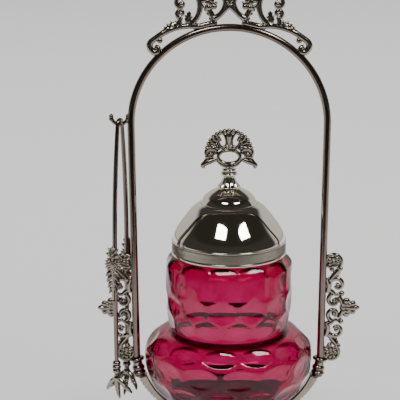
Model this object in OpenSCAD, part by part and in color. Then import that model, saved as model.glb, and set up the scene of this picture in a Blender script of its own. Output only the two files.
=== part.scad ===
// Table castor: a silver-plated frame with an arched handle, a glass pickle jar with a lift-off lid,
// and claw tongs on a hook. Units are millimetres. +Z is up, the front faces -Y, and the origin is
// the centre of the foot on the table.

/* [Jar] */
// Radius of the jar at its widest
jar_r = 51.4; // [48:0.2:60]
// Height of the widest point above the jar's base
bulb_h = 32.1; // [30:0.1:38]
// Profile radius of the bulb above its widest point
bulb_top_r = 15.2; // [13:0.1:17]
// Profile radius of the bulb below its widest point
bulb_low_r = 36; // [34:0.5:40]
// Radius of the waist, where the body rises from the bulb
waist_r = 34.6; // [30:0.1:35.5]
// Radius of the upper body
body_r = 38.5; // [36.5:0.1:42]
// Height of the upper body above the waist, up to the shoulder
body_h = 41.5; // [34:0.5:52]
// Rise of the shoulder
shoulder_h = 6.5; // [5:0.5:9]
// Outer radius of the neck
neck_r = 31.2; // [26:0.1:32]
// Height of the neck above the shoulder
neck_h = 5; // [4:0.5:8]
// Thickness of the glass
glass_t = 3; // [2:0.1:4]
// Radius of the jar's flat base, on a jar of the standard width
base_r = 29.5; // [25:0.5:30]
// Depth of the hollow under the base
kick_h = 2; // [1.6:0.1:3]

/* [Lid] */
// Outer radius of the knurled band
band_r = 34.7; // [33:0.1:38]
// Height of the knurled band
band_h = 8.8; // [6:0.1:11]
// Thickness of the lid's metal
lid_t = 0.9; // [0.7:0.1:1.2]
// Depth of the sleeve inside the jar's mouth
sleeve_h = 8; // [5:0.5:12]
// Clearance between the sleeve and the jar's mouth
sleeve_gap = 0.5; // [0.3:0.1:1]
// Height of the bell, from the band to the ledge
bell_h = 23; // [19:0.5:28]
// Radius of the ledge at the foot of the upper dome
ledge_r = 17.2; // [14:0.2:20]
// Height of the upper dome
dome_h = 9.8; // [8:0.1:12]
// Height of the finial's flared stem
flare_h = 6; // [5:0.1:8]
// Height of the finial's collar
collar_h = 5; // [4:0.1:6.5]
// Radius of the finial's fan
fan_r = 14.9; // [12:0.1:18]
// Thickness of the finial's casting
fan_t = 3.4; // [2.6:0.1:5]

/* [Frame] */
// Height of the jar's seat above the table
seat_z = 32.5; // [31:0.5:40]
// Radius of the arched handle's centre line, round a jar of the standard width
arch_r = 58.8; // [57.5:0.1:70]
// Height of the arch's centre above the seat
arch_h = 175.7; // [165:0.5:210]
// Radius of the handle's rod
rod_r = 2.25; // [1.8:0.05:2.8]
// Lean of the handle's legs, in degrees
leg_lean = 0.967; // [0.2:0.01:1.2]
// Thickness of the cast openwork
cast_t = 3.2; // [2.4:0.1:4]
// Width of the cradle arms
arm_w = 12; // [9:0.5:16]
// Thickness of the tray
tray_t = 1.5; // [1.2:0.1:2]
// Radius of the tray's flared edge, under a jar of the standard width
tray_r = 38.5; // [36:0.5:44]
// Radius of the foot
foot_r = 47.5; // [42:0.5:58]
// Height of the foot's dome
dome_z = 14.2; // [12:0.1:16]
// Radius of the tie bolt
bolt_r = 2; // [1.6:0.1:2.4]

/* [Tongs] */
// Length of the tongs, from the middle of the bow to the claws' tips
tong_len = 172; // [160:1:184]
// Radius of a tong arm
tong_r = 1.5; // [1.2:0.1:1.7]
// How far the arms bow out beyond the ankles
tong_bulge = 1.2; // [0.8:0.1:2]
// Distance of each ankle from the middle
tong_ankle = 7.4; // [7.2:0.1:9]
// Distance of the toes' tips from the middle
toe_gap = 3.1; // [2.9:0.1:4]
// Turn of the tongs about the hook, in degrees
tong_turn = 23; // [10:1:30]

/* [Hidden] */
$fn = 64;
eps = 0.01;
// How much wider a bar or band is at its round ends
end_swell = 1.08;
// Gap left at a soldered face
solder_gap = 0.05;
// Gap left between a bolt, pin or rivet and its hole
pin_gap = 0.05;
// Step that lets two lengths of one bent rod join cleanly
rod_step = 0.01;
// The standard jar and rod, which the frame's own sizes are given for
standard_jar_r = 51.4;
standard_rod_r = 2.25;
// How much wider this jar is: its base, the tray and the handle's legs move out with it
jar_extra = jar_r - standard_jar_r;
// How much thicker this rod is: the sockets round its ends swell with it
rod_extra = rod_r - standard_rod_r;
stand_r = base_r + jar_extra;
lip_r = tray_r + jar_extra;
handle_r = arch_r + jar_extra;

// Jar heights, above the table
bulb_z = seat_z + bulb_h;
waist_z = bulb_z + bulb_top_r;
shoulder_z = waist_z + body_h;
neck_z = shoulder_z + shoulder_h;
mouth_z = neck_z + neck_h;
mouth_r = neck_r - glass_t;
flare_up = 29;
low_c = jar_r - bulb_low_r;
top_c = jar_r - bulb_top_r;
// The bulb's lower curve runs from its widest point down to just above the seat, beside the base
bulb_foot_r = stand_r + 2.6;
bulb_foot_a = acos((bulb_foot_r - low_c) / bulb_low_r);
bulb_low_z = (bulb_h - 0.207) / sin(bulb_foot_a);

// Lid heights, above the table
band_z = neck_z + 0.6;
bell_z = band_z + band_h;
ledge_z = bell_z + bell_h;
crown_z = ledge_z + dome_h;
flare_top_z = crown_z + flare_h;
collar_top_z = flare_top_z + collar_h;
crown_r = 8.6;
stud_r = 1.5;

// Frame heights and places
arch_z = seat_z + arch_h;
arch_out = handle_r + rod_r;
tray_z = seat_z - tray_t;
// Flat of the tray, a little wider than the jar's base
flat_r = stand_r + 3.7;
slot_x = flat_r + 0.2;
leg_top = [handle_r * cos(leg_lean), arch_z - handle_r * sin(leg_lean)];
socket_z = seat_z + 29;
socket_h = 12.5;
socket_r = 3.7 + rod_extra;
socket_lean = 9;
rod_depth = 6.5;
rod_end_z = socket_z - rod_depth;
function leg_x(z) = leg_top[0] - (leg_top[1] - z) * tan(leg_lean);
arm_t = 3;
hub_r = 9;
arm_glass_gap = 1.2;

// Tongs
hook_r = 5;
hook_wire = 1.2;
hook_ball = 1.5;
hook_x = -(handle_r + 6.8);
hook_z = arch_z + 4.8;
bow_r = 3.2;
bow_wire = 1.3;
hang_gap = 0.3;
bow_z = hook_z - hook_r + hook_wire + hang_gap - (bow_r - bow_wire);
knuckle_h = 8;
palm_drop = 3;
toe_len = 14.6;
ankle_z = bow_z - tong_len + knuckle_h + palm_drop + toe_len;
tong_spread = tong_ankle + tong_bulge;
// Gap left where each arm meets the bow
hinge_gap = 0.1;

// ---------- shared outlines ----------

// Points on an arc about [cx, cy], from angle a0 to a1
function arc(cx, cy, r, a0, a1, n = 10) =
    [for (i = [0:n]) let (a = a0 + (a1 - a0) * i / n) [cx + r * cos(a), cy + r * sin(a)]];

// Points on an upright or flat ellipse
function oval(cx, cy, rx, ry, a0, a1, n = 10) =
    [for (i = [0:n]) let (a = a0 + (a1 - a0) * i / n) [cx + rx * cos(a), cy + ry * sin(a)]];

// A list of points in the other order
function back(p) = [for (i = [len(p) - 1:-1:0]) p[i]];

// A profile moved inwards and down, for a spun shell's inner face
function inner(p, dr, dz) = [for (q = p) [max(q[0] - dr, 0), q[1] - dz]];

// A flat band that follows an arc, with round ends
module band(r, w, a0, a1) {
    steps = ceil((a1 - a0) / 40);
    intersection() {
        difference() {
            circle(r + w / 2);
            circle(r - w / 2);
        }
        polygon(concat([[0, 0]], arc(0, 0, 2 * r + w, a0, a1, steps)));
    }
    for (a = [a0, a1])
        translate([r * cos(a), r * sin(a)]) circle(w / 2 * end_swell);
}

// A scroll: an arc that tightens through a smaller one into a round eye
module scroll(c, r, w, start, sweep, turn = 1, tight = 0.58, eye = 0.34) {
    r2 = r * tight;
    translate(c) rotate(start) mirror([0, turn > 0 ? 0 : 1]) {
        band(r, w, 0, sweep);
        translate([(r - r2) * cos(sweep), (r - r2) * sin(sweep)]) {
            band(r2, w * 0.85, sweep, sweep + 160);
            translate([r2 * cos(sweep + 160), r2 * sin(sweep + 160)] * 0.7) circle(r * eye);
        }
    }
}

// A straight bar with round ends
module bar(a, b, w) {
    d = b - a;
    translate(a) rotate(atan2(d[1], d[0])) translate([0, -w / 2]) square([norm(d), w]);
    for (p = [a, b])
        translate(p) circle(w / 2 * end_swell);
}

module dot(c, r) {
    translate(c) circle(r);
}

// Stands a flat outline up in the plane of the arch
module upright(t) {
    rotate([90, 0, 0]) linear_extrude(t, center = true) children();
}

// The handle's arch and both legs, as wide as its rod plus a gap
module handle_rod(r, end_z) {
    translate([0, 0, arch_z]) rotate([90, 0, 0]) rotate(-leg_lean)
        rotate_extrude(angle = 180 + 2 * leg_lean) translate([handle_r, 0]) circle(r);
    for (side = [-1, 1])
        leg(side, r + rod_step, end_z);
}

// One leg of the handle, down to end_z
module leg(side, r, end_z) {
    length = (leg_top[1] - end_z) / cos(leg_lean);
    translate([side * leg_top[0], 0, leg_top[1]]) rotate([0, side * leg_lean, 0])
        translate([0, 0, -length]) cylinder(h = length, r = r);
}

// ---------- foot and pedestal ----------

rim_h = 4.4;
rim_in = foot_r - 3.9;

module foot_rim() {
    color("silver") rotate_extrude()
        polygon(concat([[rim_in, 0], [foot_r, 0], [foot_r, 1.6]],
            oval(foot_r - 2.6, 1.6, 2.6, rim_h - 1.6, 15, 90, 6), [[rim_in, rim_h]]));
}

module foot_dome() {
    shell = 1.1;
    outside = concat([[foot_r - 2.6, rim_h], [foot_r - 2.6, rim_h + shell], [foot_r - 5.5, rim_h + shell]],
        oval(15, rim_h + shell, foot_r - 21.5, 6.4, 0, 78, 10),
        oval(hub_r + 5.5, dome_z, 5.5, 1.6, 250, 180, 4));
    inside = concat([[foot_r - 6.6, rim_h]], oval(15, rim_h, foot_r - 22.6, 6.4, 4, 78, 10),
        [[hub_r, dome_z - 1.8]]);
    color("silver") rotate_extrude()
        polygon(concat(outside, [[bolt_r + pin_gap, dome_z], [bolt_r + pin_gap, dome_z - 1.8]], back(inside)));
}

module pedestal_stem() {
    h = tray_z - dome_z;
    color("silver") translate([0, 0, dome_z]) rotate_extrude()
        polygon(concat([[bolt_r + pin_gap, 0], [hub_r, 0], [hub_r, 1.2]],
            oval(hub_r, 4.4, hub_r - 4.6, 3.2, 270, 180, 6),
            arc(4.2, h / 2, 3.8, -70, 70, 8),
            oval(hub_r, h - 5, hub_r - 4.6, 3.4, 180, 90, 6),
            [[hub_r, h], [bolt_r + pin_gap, h]]));
}

// Saucer that the jar stands in, slotted for the arms
module tray_saucer() {
    lip_z = seat_z + 3;
    color("silver") difference() {
        rotate_extrude()
            polygon([[bolt_r + pin_gap, tray_z], [flat_r, tray_z], [lip_r, lip_z - tray_t],
                [lip_r + 0.4, lip_z - 0.6], [lip_r, lip_z], [flat_r, seat_z],
                [bolt_r + pin_gap, seat_z]]);
        for (side = [-1, 1])
            translate([side * (slot_x + lip_r / 2), 0, seat_z])
                cube([lip_r, arm_w + 2 * solder_gap, 12], center = true);
        for (side = [-1, 1], y = [-1, 1] * arm_w / 4)
            translate([side * rivet_x, y, 0]) cylinder(h = 2 * seat_z, r = rivet_r);
    }
}

module tie_bolt() {
    head = 1.2;
    color("gainsboro") {
        translate([0, 0, dome_z - 9]) cylinder(h = seat_z - dome_z + 9, r = bolt_r);
        translate([0, 0, seat_z]) cylinder(h = head, r = 4.2);
    }
}

washer_z = dome_z - 1.8;

module tie_washer() {
    color("gainsboro") translate([0, 0, washer_z - 0.8]) difference() {
        cylinder(h = 0.8, r = 6);
        translate([0, 0, -1]) cylinder(h = 3, r = bolt_r + pin_gap);
    }
}

module tie_nut() {
    color("goldenrod") translate([0, 0, washer_z - 0.8 - 3.2]) difference() {
        cylinder(h = 3.2, r = 4.4, $fn = 6);
        translate([0, 0, -1]) cylinder(h = 6, r = bolt_r + pin_gap);
    }
}

// ---------- cradle arms and sockets ----------

rivet_x = 22;
rivet_r = 1;
// The arm's curves keep their distance from the leg that the arm carries
arm_c = [leg_x(socket_z) - 38.33, bulb_z + 2.4];
arm_out_r = 41;
arm_in_c = [arm_c[0] - 2.6, bulb_z];
arm_in_r = 36 + arm_glass_gap;
strap_x = arm_c[0] + 6;

// Side outline of the right arm, between its inner and outer curves
module arm_outline() {
    difference() {
        union() {
            difference() {
                translate(arm_c) circle(arm_out_r, $fn = 96);
                translate(arm_in_c) circle(arm_in_r, $fn = 96);
                translate([-100, -100]) square([100 + strap_x, 300]);
            }
            translate([hub_r + 0.3, tray_z - arm_t]) square([strap_x, arm_t]);
        }
        translate([-100, tray_z]) square([100 + slot_x + solder_gap, 100]);
        translate([-100, tray_z - arm_t - 20]) square([300, 20]);
    }
}

// The socket's place: its upper face, on the right leg
module at_socket(side) {
    translate([side * leg_x(socket_z), 0, socket_z]) rotate([0, side * socket_lean, 0]) children();
}

module cradle_arm(side) {
    color("silver") difference() {
        intersection() {
            mirror([side < 0 ? 1 : 0, 0, 0]) upright(arm_w) arm_outline();
            linear_extrude(200) polygon([[0, -arm_w / 2], [side * (arm_c[0] + 16), -arm_w / 2],
                [side * (arm_c[0] + 42), -4], [side * (arm_c[0] + 42), 4],
                [side * (arm_c[0] + 16), arm_w / 2], [0, arm_w / 2]]);
        }
        at_socket(side) translate([-40, -40, -socket_h]) cube([80, 80, 80]);
        for (y = [-1, 1] * arm_w / 4)
            translate([side * rivet_x, y, 0]) cylinder(h = 2 * seat_z, r = rivet_r);
    }
}

module arm_rivets() {
    color("gainsboro") for (side = [-1, 1], y = [-1, 1] * arm_w / 4)
        translate([side * rivet_x, y, tray_z - arm_t - 0.8]) {
            cylinder(h = seat_z - tray_z + arm_t + 0.8, r = rivet_r);
            cylinder(h = 0.8, r = 1.9);
        }
}

// Turned ferrule that holds the foot of one leg
module socket(side) {
    color("silver") difference() {
        at_socket(side) rotate_extrude()
            polygon(concat([[0, 0], [4.1 + rod_extra, 0]],
                oval(4.1 + rod_extra, -1.1, 0.5, 1.1, 90, -90, 6),
                [[3 + rod_extra, -2.6], [2.9 + rod_extra, -5.6]], arc(2.7 + rod_extra, -7.1, 1.2, 60, -60, 6),
                arc(2.9 + rod_extra, -9.7, 1.3, 60, -60, 6), [[3.2, -socket_h], [0, -socket_h]]));
        leg(side, rod_r + pin_gap, rod_end_z - pin_gap);
        pin_place(side) cylinder(h = 20, r = 0.8, center = true);
    }
}

module pin_place(side) {
    z = socket_z - 4;
    translate([side * leg_x(z), 0, z]) rotate([90, 0, 0]) children();
}

module socket_pins() {
    color("gainsboro") for (side = [-1, 1])
        pin_place(side) cylinder(h = 6.4 + 2 * rod_extra, r = 0.8, center = true);
}

// ---------- handle and its castings ----------

module arch_handle() {
    color("silver") difference() {
        handle_rod(rod_r, rod_end_z);
        for (side = [-1, 1])
            pin_place(side) cylinder(h = 20, r = 0.8, center = true);
    }
}

// Right half of the crest, with places measured up from the arch's centre
module crest_half() {
    // foot along the arch
    band(arch_out + 1.4, 2.8, 72, 82);
    bar([9.1, 64.6], [10.5, 62.2], 2.6);
    // stem that rises from the foot and winds round the boss
    translate([12.6, 74]) band(10.2, 2.5, 40, 250);
    dot([13, 77.6], 4.8);
    bar([12.6, 74], [12.2, 71.2], 1.8);
    dot([20.6, 82.6], 2.2);
    // acanthus leaf
    translate([19.4, 70.6]) band(9.8, 2.2, 178, 262);
    dot([12.2, 71.2], 1.6);
    dot([9.2, 71.4], 1.7);
    dot([10.7, 72.6], 1.5);
    // outer scroll and its two curls
    translate([30, 71]) band(12.4, 2.5, 118, 250);
    translate([24.6, 76.2]) band(7, 2, -16, 95);
    translate([28.9, 73]) band(2.7, 1.8, -170, 30);
    dot([28, 72.6], 1.6);
    translate([28.9, 67.4]) band(2.2, 1.5, -180, 180);
    bar([28.9, 65.2], [29.6, 61.4], 2.4);
    bar([25, 61.6], [23.9, 67.6], 1.7);
    dot([23.8, 68], 1.4);
    // tail, wrapped with a leaf, with a hanging ball and an end curl
    translate([22, 22.8]) band(37, 2.2, 52, 96);
    translate([42.7, 48.2]) band(5, 2.2, -62, 55);
    translate([44.2, 46]) band(2.5, 1.7, 140, 300);
    bar([44.6, 45.8], [42.3, 43.8], 2.2);
    dot([30.8, 61], 1.9);
    dot([34.2, 60], 1.9);
    dot([37.6, 57.8], 1.8);
    bar([42.4, 54], [41.8, 51.8], 1.3);
    dot([41.6, 51.2], 1.5);
}

// Palmette in the middle of the crest
module palmette_outline() {
    for (a = [-40, -20, 0, 20, 40])
        rotate_about([0, 73], -a) {
            polygon([[-0.9, 73], [0.9, 73], [2.2, 89.4 - abs(a) / 8], [-2.2, 89.4 - abs(a) / 8]]);
            dot([0, 89.6 - abs(a) / 8], 2.4);
        }
    dot([0, 73.4], 2.8);
}

module rotate_about(c, a) {
    translate(c) rotate(a) translate(-c) children();
}

module crest_casting() {
    color("silver") difference() {
        upright(cast_t) translate([0, arch_z]) {
            crest_half();
            mirror([1, 0]) crest_half();
            palmette_outline();
        }
        handle_rod(rod_r + solder_gap, rod_end_z);
    }
}

// Half of one side casting: x runs out from the leg's axis, y up from the casting's middle
module side_half() {
    dot([6.5, 28.8], 3.5);
    bar([6.5, 28.8], [4.3, 32.4], 2);
    translate([6.5, 28.8]) band(4.9, 1.5, -60, 190);
    dot([5.6, 24.4], 1.5);
    bar([5.6, 24.4], [9.6, 24.4], 1.6);
    bar([9.6, 24.4], [5, 18], 2.2);
    scroll([9.7, 14.7], 3.4, 1.4, 165, 215, -1);
    bar([4.1, 17.6], [4.4, 10.8], 3);
    bar([5.4, 15.6], [7, 16.2], 2);
    bar([4.6, 11.2], [8.4, 7.6], 2.2);
    bar([8.4, 7.8], [11.4, 8.7], 1.4);
    dot([11.9, 8.8], 1.4);
    scroll([7.6, 4], 3.7, 1.5, 60, 220, 1);
    bar([10.6, 6.2], [13.4, 1], 2.6);
    dot([15.4, 4.1], 2.2);
    dot([19, 2.8], 1.7);
}

module side_scroll(side) {
    mid_z = seat_z + 61;
    color("silver") difference() {
        mirror([side < 0 ? 1 : 0, 0, 0]) translate([leg_x(mid_z), 0, mid_z]) rotate([0, leg_lean, 0])
            upright(cast_t) {
                side_half();
                mirror([0, 1]) side_half();
                bar([12.4, 0], [19.4, 0], 3.6);
                bar([19.4, 0], [23.1, 0], 1.8);
            }
        leg(side, rod_r + solder_gap, rod_end_z);
        at_socket(side) translate([0, 0, -10]) cylinder(h = 10 + solder_gap, r = socket_r + 1.1);
    }
}

// ---------- tongs ----------

module tong_hook() {
    color("silver") difference() {
        union() {
            translate([hook_x, 0, hook_z]) rotate([90, 180, 0])
                rotate_extrude(angle = 180) translate([hook_r, 0]) circle(hook_wire);
            for (side = [-1, 1])
                translate([hook_x + side * hook_r, 0, hook_z]) sphere(hook_ball);
        }
        handle_rod(rod_r + solder_gap, rod_end_z);
    }
}

// The tongs' own frame: x across the arms' flat, y from arm to arm
module at_tongs() {
    translate([hook_x, 0, 0]) rotate(-tong_turn) children();
}

module tong_bow() {
    color("silver") at_tongs() translate([0, 0, bow_z]) rotate([90, 0, 90])
        rotate_extrude(angle = 180) translate([bow_r, 0]) circle(bow_wire);
}

// Each arm is two arcs: out from the bow to the widest place, and in again to the ankle
wide_z = bow_z - (bow_z - ankle_z) * 0.52;
arm_top_drop = bow_z - wide_z;
arm_low_drop = wide_z - ankle_z;
arc_top_r = (pow(arm_top_drop, 2) + pow(tong_spread - bow_r, 2)) / (2 * (tong_spread - bow_r));
arc_low_r = (pow(arm_low_drop, 2) + pow(tong_spread - tong_ankle, 2)) / (2 * (tong_spread - tong_ankle));

// Draws a piece on the back arm, or turned half round for the front one
module on_arm(front) {
    at_tongs() rotate(front ? 180 : 0) children();
}

module arm_arc(r, from, to, wire) {
    translate([0, tong_spread - r, wide_z]) rotate([90, 0, 90]) rotate(from)
        rotate_extrude(angle = to - from) translate([r, 0]) circle(wire);
}

module tong_arm(front) {
    // a little over length at each end, then cut flat
    over = 0.25;
    color("silver") on_arm(front) difference() {
        union() {
            arm_arc(arc_top_r, 0, asin(arm_top_drop / arc_top_r) + over, tong_r);
            arm_arc(arc_low_r, -asin(arm_low_drop / arc_low_r) - over, 0, tong_r + rod_step);
        }
        translate([-10, -10, bow_z - hinge_gap]) cube([20, 40, 20]);
        translate([-10, -10, ankle_z - 20]) cube([20, 40, 20]);
    }
}

// Cast spray that covers the outside of an arm
flower_z = bow_z - 90.5;
flower_h = 36;
flower_t = 2.4;

module flower_outline() {
    dot([0, 6], 4.6);
    for (a = [0:45:315])
        rotate_about([0, 6], a) dot([0, 6 + 4.6], 1.5);
    bar([0, 6], [0, flower_h / 2 - 1], 2.4);
    bar([0, 6], [0, -flower_h / 2 + 1], 2.4);
    for (side = [-1, 1]) {
        bar([0, 8], [side * 3.6, 14], 2.2);
        bar([0, 0], [side * 4, -3], 2.4);
        bar([0, -6], [side * 3, -9.4], 2.2);
    }
}

module tong_flower(front) {
    back_y = tong_spread + tong_r + solder_gap / 2;
    color("silver") on_arm(front) translate([0, back_y + flower_t, flower_z]) rotate([90, 0, 0])
        linear_extrude(flower_t) flower_outline();
}

module tong_knuckle(front) {
    color("silver") on_arm(front) translate([0, tong_ankle, ankle_z - knuckle_h]) rotate_extrude()
        polygon(concat([[0, 0], [1.7, 0]], arc(1.5, 1.6, 1.1, -60, 60, 6), arc(1.6, 4.1, 1.2, -60, 60, 6),
            arc(1.5, 6.5, 1.1, -60, 60, 6), [[1.5, knuckle_h], [0, knuckle_h]]));
}

// A toe: a cone to its joint, a ball there, and a curved talon beyond
module toe(spread, length, reach) {
    joint = [spread * 0.62, -reach * 0.35, -length * 0.55];
    tip = [spread, -reach, -length];
    taper([0, 0, 0], joint, 1.5, 1);
    translate(joint) sphere(1.3);
    taper(joint, tip, 1, 0.4);
}

// A cone from point a to point b
module taper(a, b, ra, rb) {
    d = b - a;
    translate(a) rotate([0, acos(d[2] / norm(d)), atan2(d[1], d[0])]) cylinder(h = norm(d), r1 = ra, r2 = rb);
}

module tong_claw(front) {
    top = ankle_z - knuckle_h;
    color("silver") on_arm(front) translate([0, tong_ankle, top]) {
        translate([0, 0, -palm_drop]) cylinder(h = palm_drop, r = 1.6);
        translate([0, 0, -palm_drop]) {
            sphere(2.2);
            toe(8.4, toe_len - 4.4, tong_ankle - toe_gap);
            toe(-8.4, toe_len - 4.4, tong_ankle - toe_gap);
            toe(0, toe_len, tong_ankle - toe_gap);
        }
    }
}

// ---------- jar ----------

function jar_outside() = concat(
    [[0, seat_z + kick_h], [stand_r - 4, seat_z + kick_h], [stand_r - 3, seat_z], [stand_r, seat_z]],
    oval(low_c, bulb_z, bulb_low_r, bulb_low_z, -bulb_foot_a, 0, 14),
    arc(top_c, bulb_z, bulb_top_r, 8, 88, 9),
    oval(waist_r, waist_z + flare_up, body_r - waist_r, flare_up - 0.8, -90, 0, 8),
    oval(neck_r, shoulder_z, body_r - neck_r, shoulder_h, 0, 90, 8),
    [[neck_r, mouth_z - 0.8], [neck_r - 0.8, mouth_z]]);

function jar_inside() = concat(
    [[mouth_r + 0.8, mouth_z], [mouth_r, mouth_z - 0.8]],
    oval(mouth_r, shoulder_z - glass_t, body_r - neck_r, shoulder_h, 90, 0, 8),
    oval(waist_r - glass_t, waist_z + flare_up, body_r - waist_r, flare_up, 0, -90, 8),
    arc(top_c, bulb_z, bulb_top_r - glass_t, 110, 8, 9),
    oval(low_c, bulb_z, bulb_low_r - glass_t, bulb_low_z - glass_t, 0,
        -asin((bulb_h - kick_h - glass_t) / (bulb_low_z - glass_t)), 12),
    [[0, seat_z + kick_h + glass_t]]);

module glass_jar() {
    color([0.72, 0.05, 0.22, 0.5]) rotate_extrude() polygon(concat(jar_outside(), jar_inside()));
}

// ---------- lid ----------

// Outside of the spun bell, from the band up to the crown
function bell_outside() = concat(
    oval(band_r - 7.7, bell_z, 7.3, 9.2, 0, 40, 5),
    oval(ledge_r - 0.2, ledge_z - 8.3, 8.2, 8.3, 22, 84, 7),
    oval(0, ledge_z, ledge_r - 0.6, dome_h, 5, 60, 8),
    [[crown_r - 1.6, crown_z - 0.4]]);

module lid_bell() {
    outside = bell_outside();
    color("silver") rotate_extrude()
        polygon(concat(outside, [[stud_r + pin_gap, crown_z - 0.4], [stud_r + pin_gap, crown_z - 0.4 - lid_t]],
            back(inner(outside, lid_t, lid_t * 0.8)), [[band_r - 0.4 - lid_t, bell_z]]));
}

module lid_band() {
    color("silver") translate([0, 0, band_z]) rotate_extrude()
        polygon([[band_r - 1.3, 0], [band_r - 0.3, 0], [band_r, 0.4], [band_r, 1.4], [band_r - 0.3, 1.7],
            [band_r - 0.3, band_h - 1], [band_r, band_h - 0.8], [band_r, band_h - 0.2], [band_r - 0.2, band_h],
            [band_r - 1.3, band_h]]);
}

// Ring that rests on the jar's mouth, with the sleeve that goes inside it
module lid_bezel() {
    out = mouth_r - sleeve_gap;
    color("silver") translate([0, 0, mouth_z]) rotate_extrude()
        polygon([[out - 1, -sleeve_h], [out, -sleeve_h], [out, 0], [band_r - 1.3, 0], [band_r - 1.3, 1], [out - 1, 1]]);
}

module finial_stem() {
    base_z = crown_z - 0.4;
    color("silver") rotate_extrude()
        polygon(concat([[stud_r + pin_gap, base_z], [crown_r - 1.6, base_z]],
            oval(crown_r - 1.6, flare_top_z, crown_r - 1.6 - 3.7, flare_h - 1, 270, 180, 8),
            [[stud_r + pin_gap, flare_top_z]]));
}

module finial_collar() {
    color("silver") translate([0, 0, flare_top_z]) rotate_extrude()
        polygon(concat([[stud_r + pin_gap, 0], [3.9, 0]], arc(3.9, collar_h * 0.35, 1.3, -90, 60, 6),
            [[3.9, collar_h * 0.7], [4.4, collar_h], [stud_r + pin_gap, collar_h]]));
}

// The fan stands on the collar: places are measured up from the collar's top
module fan_outline() {
    c = [0, fan_r * 0.66];
    difference() {
        union() {
            intersection() {
                translate(c) circle(fan_r - 1.2);
                translate([-fan_r, c[1] - 3]) square([2 * fan_r, 2 * fan_r]);
            }
            for (a = [0:18:180])
                dot(c + (fan_r - 1.9) * [cos(a), sin(a)], 1.9);
            polygon(oval(0, 6.8, 7.9, 5.2, 0, 345, 23));
            for (side = [-1, 1]) {
                dot([side * (fan_r - 3.6), c[1] - 0.6], 3.8);
                bar([side * (fan_r - 3), c[1] - 4], [side * (fan_r + 0.6), 2.2], 2.6);
            }
            translate([-3.5, 0]) square([7, 4]);
        }
        polygon(oval(0, 6.9, 5.7, 3.4, 0, 345, 23));
        for (side = [-1, 1])
            rotate_about(c, side * -17) polygon(oval(0, c[1] + 8, 1.5, 3.9, 0, 340, 17));
    }
}

module finial_fan() {
    color("silver") difference() {
        translate([0, 0, collar_top_z]) upright(fan_t) fan_outline();
        cylinder(h = collar_top_z + 2.4, r = stud_r);
    }
}

nut_z = crown_z - 0.4 - lid_t;

module finial_screw() {
    length = collar_top_z + 2.4 - (nut_z - 4.4);
    color("gainsboro") translate([0, 0, nut_z - 4.4]) cylinder(h = length, r = stud_r);
}

module finial_washer() {
    color("gainsboro") translate([0, 0, nut_z - 0.7]) difference() {
        cylinder(h = 0.7, r = 5);
        translate([0, 0, -1]) cylinder(h = 3, r = stud_r + pin_gap);
    }
}

module finial_nut() {
    color("goldenrod") translate([0, 0, nut_z - 0.7 - 2.6]) difference() {
        cylinder(h = 2.6, r = 3.6, $fn = 6);
        translate([0, 0, -1]) cylinder(h = 5, r = stud_r + pin_gap);
    }
}

// ---------- nodes ----------

foot_rim();
foot_dome();
pedestal_stem();
tray_saucer();
cradle_arm(-1);  // cradle_arm_left
cradle_arm(1);  // cradle_arm_right
socket(-1);  // socket_left
socket(1);  // socket_right
socket_pins();
arch_handle();
crest_casting();
side_scroll(-1);  // side_scroll_left
side_scroll(1);  // side_scroll_right
tong_hook();
tie_bolt();
tie_washer();
tie_nut();
arm_rivets();
glass_jar();
lid_bell();
lid_band();
lid_bezel();
finial_stem();
finial_collar();
finial_fan();
finial_screw();
finial_washer();
finial_nut();
tong_bow();
tong_arm(true);  // tong_arm_front
tong_arm(false);  // tong_arm_back
tong_flower(true);  // tong_flower_front
tong_flower(false);  // tong_flower_back
tong_knuckle(true);  // tong_knuckle_front
tong_knuckle(false);  // tong_knuckle_back
tong_claw(true);  // tong_claw_front
tong_claw(false);  // tong_claw_back
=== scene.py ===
"""Looks of a table castor: silver-plated frame, glass pickle jar, lift-off lid and claw tongs.

Run as a script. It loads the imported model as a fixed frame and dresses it. Sizes in the code
are in millimetres unless they say otherwise; +Z is up and the front faces -Y.
"""
import math

import bpy
from bpy.props import FloatProperty, FloatVectorProperty, IntProperty, PointerProperty
from mathutils import Matrix, Vector


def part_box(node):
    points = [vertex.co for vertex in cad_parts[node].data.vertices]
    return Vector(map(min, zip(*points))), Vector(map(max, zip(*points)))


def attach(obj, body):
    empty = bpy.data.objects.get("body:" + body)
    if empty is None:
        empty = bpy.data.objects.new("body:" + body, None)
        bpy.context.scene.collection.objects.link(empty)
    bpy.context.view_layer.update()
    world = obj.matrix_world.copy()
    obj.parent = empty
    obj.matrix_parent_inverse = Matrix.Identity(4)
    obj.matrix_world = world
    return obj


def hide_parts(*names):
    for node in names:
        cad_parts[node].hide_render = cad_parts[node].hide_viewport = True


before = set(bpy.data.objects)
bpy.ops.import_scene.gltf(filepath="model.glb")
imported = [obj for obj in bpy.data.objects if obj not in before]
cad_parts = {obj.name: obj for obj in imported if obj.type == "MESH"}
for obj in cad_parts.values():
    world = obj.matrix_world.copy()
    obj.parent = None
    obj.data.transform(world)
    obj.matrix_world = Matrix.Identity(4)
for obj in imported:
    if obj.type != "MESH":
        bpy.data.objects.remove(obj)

bl_info = {
    "name": "Table Castor",
    "version": (1, 0, 0),
    "blender": (4, 5, 0),
    "location": "View3D > Sidebar > Castor",
    "description": "Builds the visible pieces of a silver-plated table castor with a glass jar",
    "category": "Add Mesh",
}

MM = 0.001
TURN = 2 * math.pi
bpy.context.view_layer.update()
MIRROR_X = Matrix.Diagonal((-1, 1, 1, 1))


def node_box(node):
    """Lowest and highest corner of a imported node, in millimetres."""
    low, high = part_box(node)
    return low / MM, high / MM


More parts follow.
